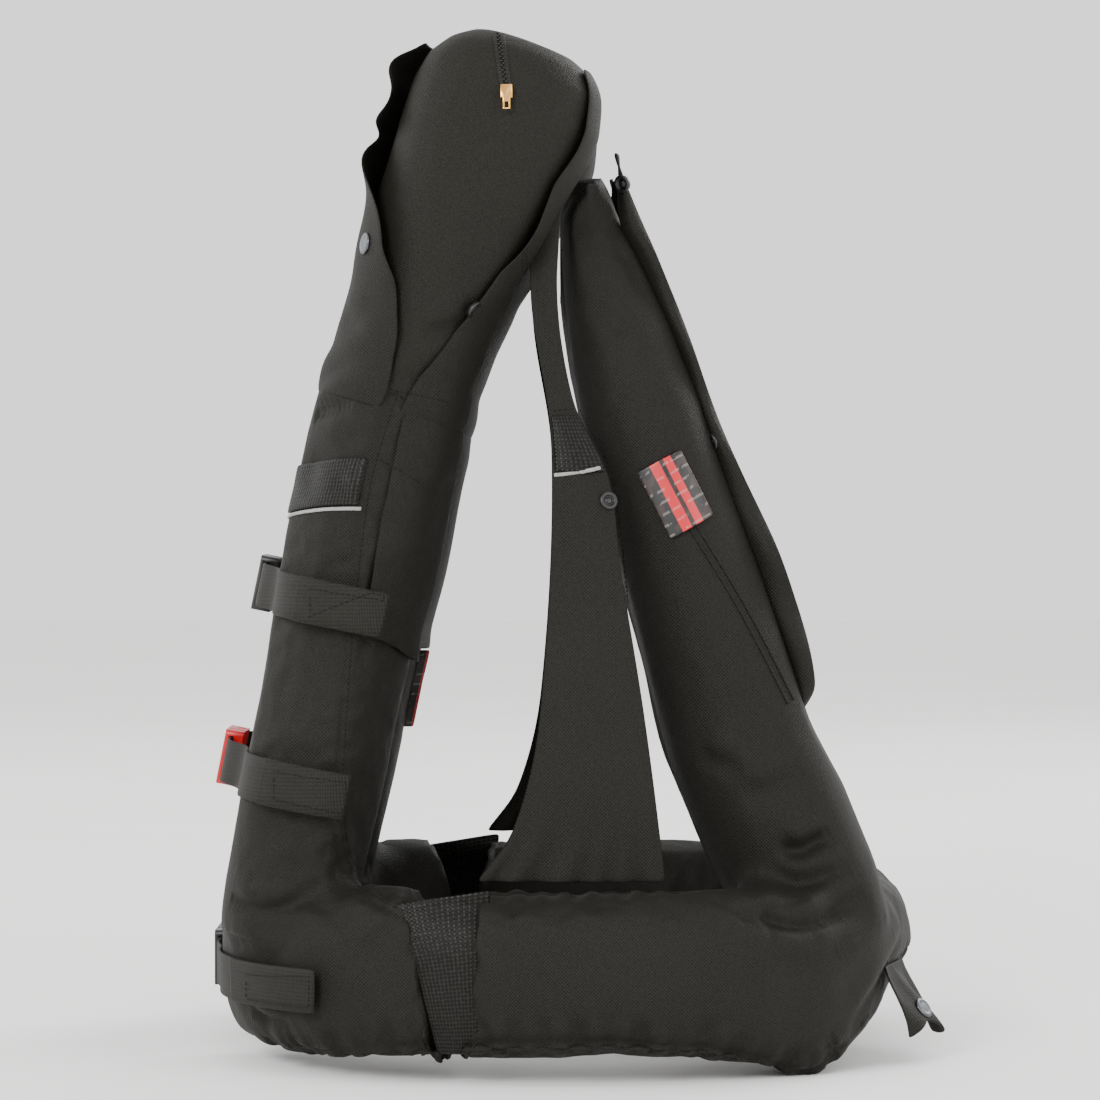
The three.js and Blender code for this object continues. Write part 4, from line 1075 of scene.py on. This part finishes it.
# pipings: radius and lift off the cloth, and [y, z] rows as seen from the side
piping = {"radius": 1.3, "hemRadius": 1.0, "lift": 0.5, "hemLift": 0.3, "chestAngles": (-86, -6),
          "chestHeights": (362, 377.5), "side": [[-17, 401], [-8, 402], [5, 404], [14, 406]],
          "coverHem": [[60, 388], [108, 310], [143, 243]], "hemGap": 5}
stitchLift = 0.15
for sideName, side in sides.items():
    tree = coverTree(sideName)
    around = [onColumn(tree, chestCentre, side, lerp(*piping["chestAngles"], k / 30),
                       lerp(*piping["chestHeights"], k / 30) * mm, piping["lift"] * mm) for k in range(31)]
    tubeAlong(f"chest_piping_{sideName}", [p for p, _ in around], [n for _, n in around],
              piping["radius"] * mm, "vest", materials["piping"], 0.7)
    points, normals = pathOn(tree, side, smoothRows(piping["side"]), piping["lift"] * mm)
    tubeAlong(f"side_piping_{sideName}", points, normals, piping["radius"] * mm, "vest",
              materials["piping"], 0.7)
    for n in range(2):
        rows = besides(piping["coverHem"], n * piping["hemGap"])
        points, normals = pathOn(tree, side, smoothRows(rows), piping["hemLift"] * mm)
        tubeAlong(f"cover_hem_piping_{n + 1}_{sideName}", points, normals, piping["hemRadius"] * mm, "vest",
                  materials["cover"], 0.8)
    frontEdge = panelEdgeRows(panelFront, 150, 560)
    rows = [
        besides(chestSeams["column"], 2.6),
        besides(chestSeams["armhole"], 2.6),
        besides(chestSeams["armhole"], 5.2),
        besides(frontEdge, 3),
        besides(panelEdgeRows(panelRear, 140, 560), -3),
        besides(frontEdge, 5.5),
        [[-17, 444], [-8, 445], [2, 446]],
        [[-126, 458], [-107, 454], [-84, 449]],
        [[-150, 303], [-137, 290], [-119, 289]],
        besides(chestSeams["yoke"], 2),
    ]
    lines = [pathOn(tree, side, smoothRows(line, 30), stitchLift * mm) for line in rows]
    stitchRow(f"cover_stitches_{sideName}", lines, "vest")
print("pipings and stitches made")


def turnedPiece(name, centre, normal, profile, body, material, segments=48, replaces=()):
    # a turned shape standing on a surface: profile rows are [radius, height] in millimetres
    base = normal.normalized().to_track_quat("Z", "Y").to_matrix()
    verts, faces = [], []
    for radius, height in profile:
        for j in range(segments):
            turn = 2 * math.pi * j / segments
            spoke = Vector((radius * math.cos(turn), radius * math.sin(turn), height))
            verts.append(centre + base @ (spoke * mm))
    for k in range(len(profile) - 1):
        for j in range(segments):
            a, b = k * segments + j, k * segments + (j + 1) % segments
            faces.append((a, b, b + segments, a + segments))
    faces.append(tuple(range(segments))[::-1])
    faces.append(tuple((len(profile) - 1) * segments + j for j in range(segments)))
    return finished(newPiece(name, verts, faces), body, material, replaces)


capProfile = [[7.0, -1.6], [7.3, 0.2], [7.4, 0.7], [7.1, 1.25], [6.3, 1.6], [5.4, 1.72], [5.0, 1.6],
              [4.6, 1.5], [3, 1.62], [1, 1.7], [0.2, 1.7]]
ringProfile = [[5.8, -1.6], [6.2, 0.2], [6.3, 0.9], [5.9, 1.5], [5.0, 1.8], [4.1, 1.7], [3.5, 1.2],
               [3.3, 0.3], [2.4, 0.1], [2.2, 0.8], [1.5, 1.1], [0.2, 1.1]]


def nodeMiddle(node):
    low, high = (Vector(corner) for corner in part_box(node))
    return (low + high) / 2


def seatOf(node, tree):
    # where a snap stands on the cloth under it, and which way it faces
    at = nodeMiddle(node)
    place, normal, _, _ = tree.find_nearest(at)
    if normal.dot(Vector((at.x, 0, 0))) < 0:
        normal = -normal
    return place, normal


looseSnaps = {"panel": (19, 384), "wingEdge": (91, 424), "tail": (236, 36)}  # [y, z] seen from the side


def clothTree(name):
    return treeOf(bpy.data.objects[f"{name}_cloth"])


def snapOn(name, tree, side, y, z, profile, body, metal, replaces=()):
    place, normal = fromSide(tree, side, y, z)
    turnedPiece(name, place, normal, profile, body, materials[metal], replaces=replaces)


for sideName, side in sides.items():
    place, normal = seatOf(f"snap_cap_{sideName}", clothTree(f"collar_flap_front_{sideName}"))
    turnedPiece(f"snap_cap_{sideName}_metal", place, normal, capProfile, f"front_flap_{sideName}",
                materials["snap"], replaces=[f"snap_cap_{sideName}"])
    place, normal = seatOf(f"snap_stud_{sideName}", clothTree(f"collar_flap_rear_{sideName}"))
    turnedPiece(f"snap_stud_{sideName}_ring", place, normal, ringProfile, "vest",
                materials["black"], replaces=[f"snap_stud_{sideName}"])
    y, z = looseSnaps["panel"]
    snapOn(f"panel_snap_{sideName}", clothTree(f"side_panel_{sideName}"), side, y * mm, z * mm, ringProfile,
           "vest", "black")
wingTree = clothTree("back_wing_left")
middle = nodeMiddle("snap_socket_back")
snapOn("wing_snap_top", wingTree, 1, middle.y, middle.z, ringProfile, "wing_left", "black",
       ["snap_socket_back"])
y, z = looseSnaps["wingEdge"]
snapOn("wing_snap_edge", wingTree, 1, y * mm, z * mm, ringProfile, "wing_left", "black")
y, z = looseSnaps["tail"]
snapOn("tail_snap", clothTree("hem_tail"), 1, y * mm, z * mm, capProfile, "tail", "snap")
print("snaps made")


# fittings and webbing: the CAD pieces with rounded edges

def openCopy(node, join):
    made = bmesh.new()
    made.from_mesh(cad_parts[node].data)
    bmesh.ops.remove_doubles(made, verts=made.verts, dist=0.01 * mm)
    if join:
        bmesh.ops.join_triangles(made, faces=made.faces, angle_face_threshold=0.6,
                                 angle_shape_threshold=3.1)
    else:
        bmesh.ops.dissolve_limit(made, angle_limit=math.radians(2), verts=made.verts, edges=made.edges)
    return made


def pieceFrom(made, name):
    mesh = bpy.data.meshes.new(name)
    made.to_mesh(mesh)
    made.free()
    piece = bpy.data.objects.new(name, mesh)
    scene.collection.objects.link(piece)
    return piece


def webbingPiece(node, body, material):
    made = openCopy(node, True)
    crease = made.edges.layers.float.new("crease_edge")
    for edge in made.edges:
        if len(edge.link_faces) == 2 and edge.calc_face_angle() > math.radians(50):
            edge[crease] = 0.75
    piece = pieceFrom(made, f"{node}_webbing")
    piece.modifiers.new("fine", "SUBSURF").levels = 2
    bake(piece)
    return finished(piece, body, material, [node])


def fitting(node, body, material, radius=0.6):
    piece = pieceFrom(openCopy(node, False), f"{node}_part")
    rounding = piece.modifiers.new("edges", "BEVEL")
    rounding.width = radius * mm
    rounding.segments = 3
    rounding.limit_method = "ANGLE"
    rounding.angle_limit = math.radians(28)
    rounding.harden_normals = True
    bake(piece)
    return finished(piece, body, material, [node])


for name in ("top", "middle", "bottom"):
    colour = "red" if name == "middle" else "black"
    for sideName in sides:
        webbingPiece(f"{name}_strap_{sideName}", "vest", materials["webbing"])
    webbingPiece(f"{name}_strap_tab", f"{name}_tab", materials["webbing"])
    fitting(f"{name}_buckle_socket", "vest", materials[colour])
    fitting(f"{name}_buckle_prong", f"{name}_prong", materials[colour])
for sideName in sides:
    fitting(f"collar_zip_slider_{sideName}", f"zip_slider_{sideName}", materials["brass"], 0.5)
    fitting(f"collar_zip_pull_{sideName}", f"zip_pull_{sideName}", materials["brass"], 0.35)
fitting("gas_cylinder", "vest", materials["steel"], 0.8)
fitting("inflator_head", "vest", materials["black"], 1.2)
fitting("inflator_lever", "lever", materials["red"], 0.9)
fitting("pull_handle", "handle", materials["red"], 0.9)
fitting("oral_tube", "vest", materials["black"], 0.6)
fitting("oral_tube_cap", "oral_cap", materials["red"], 0.6)
fitting("inflator_pocket", "vest", materials["cover"], 2.5)

zipper = {"half": 4.2, "inner": 0.9, "top": 697, "foot": 660, "y": -55, "lean": 0.15, "pitch": 1.5,
          "stagger": 0.55, "tapeLift": 0.5, "toothLift": 0.7}
toothFaces = ((0, 1, 2, 3), (4, 7, 6, 5), (0, 4, 5, 1), (1, 5, 6, 2), (2, 6, 7, 3), (3, 7, 4, 0))


def zipMiddle(z):
    return zipper["y"] + (zipper["top"] - z) * zipper["lean"]


for sideName, side in sides.items():
    tree = treeOf(bpy.data.objects[f"collar_lobe_{sideName}"])
    for n, out in enumerate((-1, 1)):
        def tapeRule(u, v, out=out, tree=tree, side=side):
            z = lerp(zipper["top"], zipper["foot"], v)
            y = zipMiddle(z) + out * lerp(zipper["inner"], zipper["half"], u)
            return fromSide(tree, side, y * mm, z * mm, zipper["tapeLift"] * mm)[0]
        sheet(f"zip_tape_{n + 1}_{sideName}", tapeRule, 3, 16, "vest", materials["webbing"], 0.7)
    verts, faces = [], []
    for k in range(int((zipper["top"] - zipper["foot"]) / zipper["pitch"])):
        z = zipper["top"] - k * zipper["pitch"]
        y = zipMiddle(z) + (zipper["stagger"] if k % 2 else -zipper["stagger"])
        place, normal = fromSide(tree, side, y * mm, z * mm, zipper["toothLift"] * mm)
        base = len(verts)
        for dx in (-0.5, 0.6):
            for dy, dz in ((-0.8, -0.5), (0.8, -0.5), (0.8, 0.5), (-0.8, 0.5)):
                across = dy * (1 if dx < 0 else 0.8)
                verts.append(place + normal * dx * mm + Vector((0, across, dz * 0.9)) * mm)
        faces += [tuple(base + i for i in face) for face in toothFaces]
    finished(newPiece(f"zip_teeth_{sideName}", verts, faces), "vest", materials["black"],
             smooth=False)
print("fittings and zips made")

tabStitch = {"inset": 4.5, "foreBand": 12, "aftBand": 6, "lift": 0.1}
for name in ("top", "middle", "bottom"):
    # a stitched oblong near the edges of each tab, as seen from the side
    points = [v.co.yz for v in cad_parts[f"{name}_strap_tab"].data.vertices if v.co.x > 0.1]
    foreY, aftY = min(p.x for p in points), max(p.x for p in points)
    fore = [p.y for p in points if p.x < foreY + tabStitch["foreBand"] * mm]
    aft = [p.y for p in points if p.x > aftY - tabStitch["aftBand"] * mm]
    inset = tabStitch["inset"] * mm
    square = [(foreY + 3 * inset, max(fore) - 2 * inset), (aftY - inset, max(aft) - inset),
              (aftY - inset, min(aft) + inset), (foreY + 3 * inset, min(fore) + inset)]
    square = [(y / mm, z / mm) for y, z in square]
    tree = treeOf(bpy.data.objects[f"{name}_strap_tab_webbing"])
    line = pathOn(tree, 1, square + square[:1], tabStitch["lift"] * mm)
    stitchRow(f"{name}_tab_stitches", [line], f"{name}_tab")

# area lamps: place in metres, watts, size in metres
studioLights = {"key": (3.0, -1.5, 1.9, 105, 1.2), "fill": (2.2, 2.6, 1.2, 48, 2.0),
                "rim": (-2.2, 2.2, 2.2, 70, 1.6), "front": (-1.2, -3.2, 1.6, 40, 1.8)}
studioSettings = {"sky": 1.5, "aim": (0, 0, 0.35), "floorDark": "#f3f2f0", "floorLight": "#fbfaf9"}
cameraStand = {"place": (2.6, -0.020, 0.384), "tilt": 0.776, "lens": 119.3, "sensor": 36}


def studio():
    floor = newPiece("floor", [(-9, -9, 0), (9, -9, 0), (9, 9, 0), (-9, 9, 0)], [(0, 1, 2, 3)])
    material, tree, shader = newMaterial("matPaintedFloor", Roughness=0.9)
    grain = addNode(tree, "TexNoise", None, {"Scale": 60.0})
    tint = addNode(tree, "ValToRGB", None, {"Fac": grain.outputs["Fac"]})
    tint.color_ramp.elements[0].color = linear(studioSettings["floorDark"])
    tint.color_ramp.elements[1].color = linear(studioSettings["floorLight"])
    tree.links.new(tint.outputs["Color"], shader.inputs["Base Color"])
    floor.data.materials.append(material)
    for name, (x, y, z, power, size) in studioLights.items():
        lamp = bpy.data.lights.new(name, "AREA")
        lamp.energy = power
        lamp.size = size
        holder = bpy.data.objects.new(name, lamp)
        holder.location = (x, y, z)
        aim = Vector(studioSettings["aim"]) - holder.location
        holder.rotation_euler = aim.to_track_quat("-Z", "Y").to_euler()
        scene.collection.objects.link(holder)
    world = bpy.data.worlds.new("studio")
    world.use_nodes = True
    sky = world.node_tree.nodes["Background"]
    sky.inputs["Color"].default_value = linear("#ffffff")
    sky.inputs["Strength"].default_value = studioSettings["sky"]
    scene.world = world


def photographer():
    camera = bpy.data.cameras.new("camera")
    camera.lens = cameraStand["lens"]
    camera.sensor_width = cameraStand["sensor"]
    stand = bpy.data.objects.new("camera", camera)
    stand.location = cameraStand["place"]
    stand.rotation_euler = (math.radians(90 - cameraStand["tilt"]), 0, math.radians(90))
    scene.collection.objects.link(stand)
    scene.camera = stand


studio()
photographer()
print("studio set")
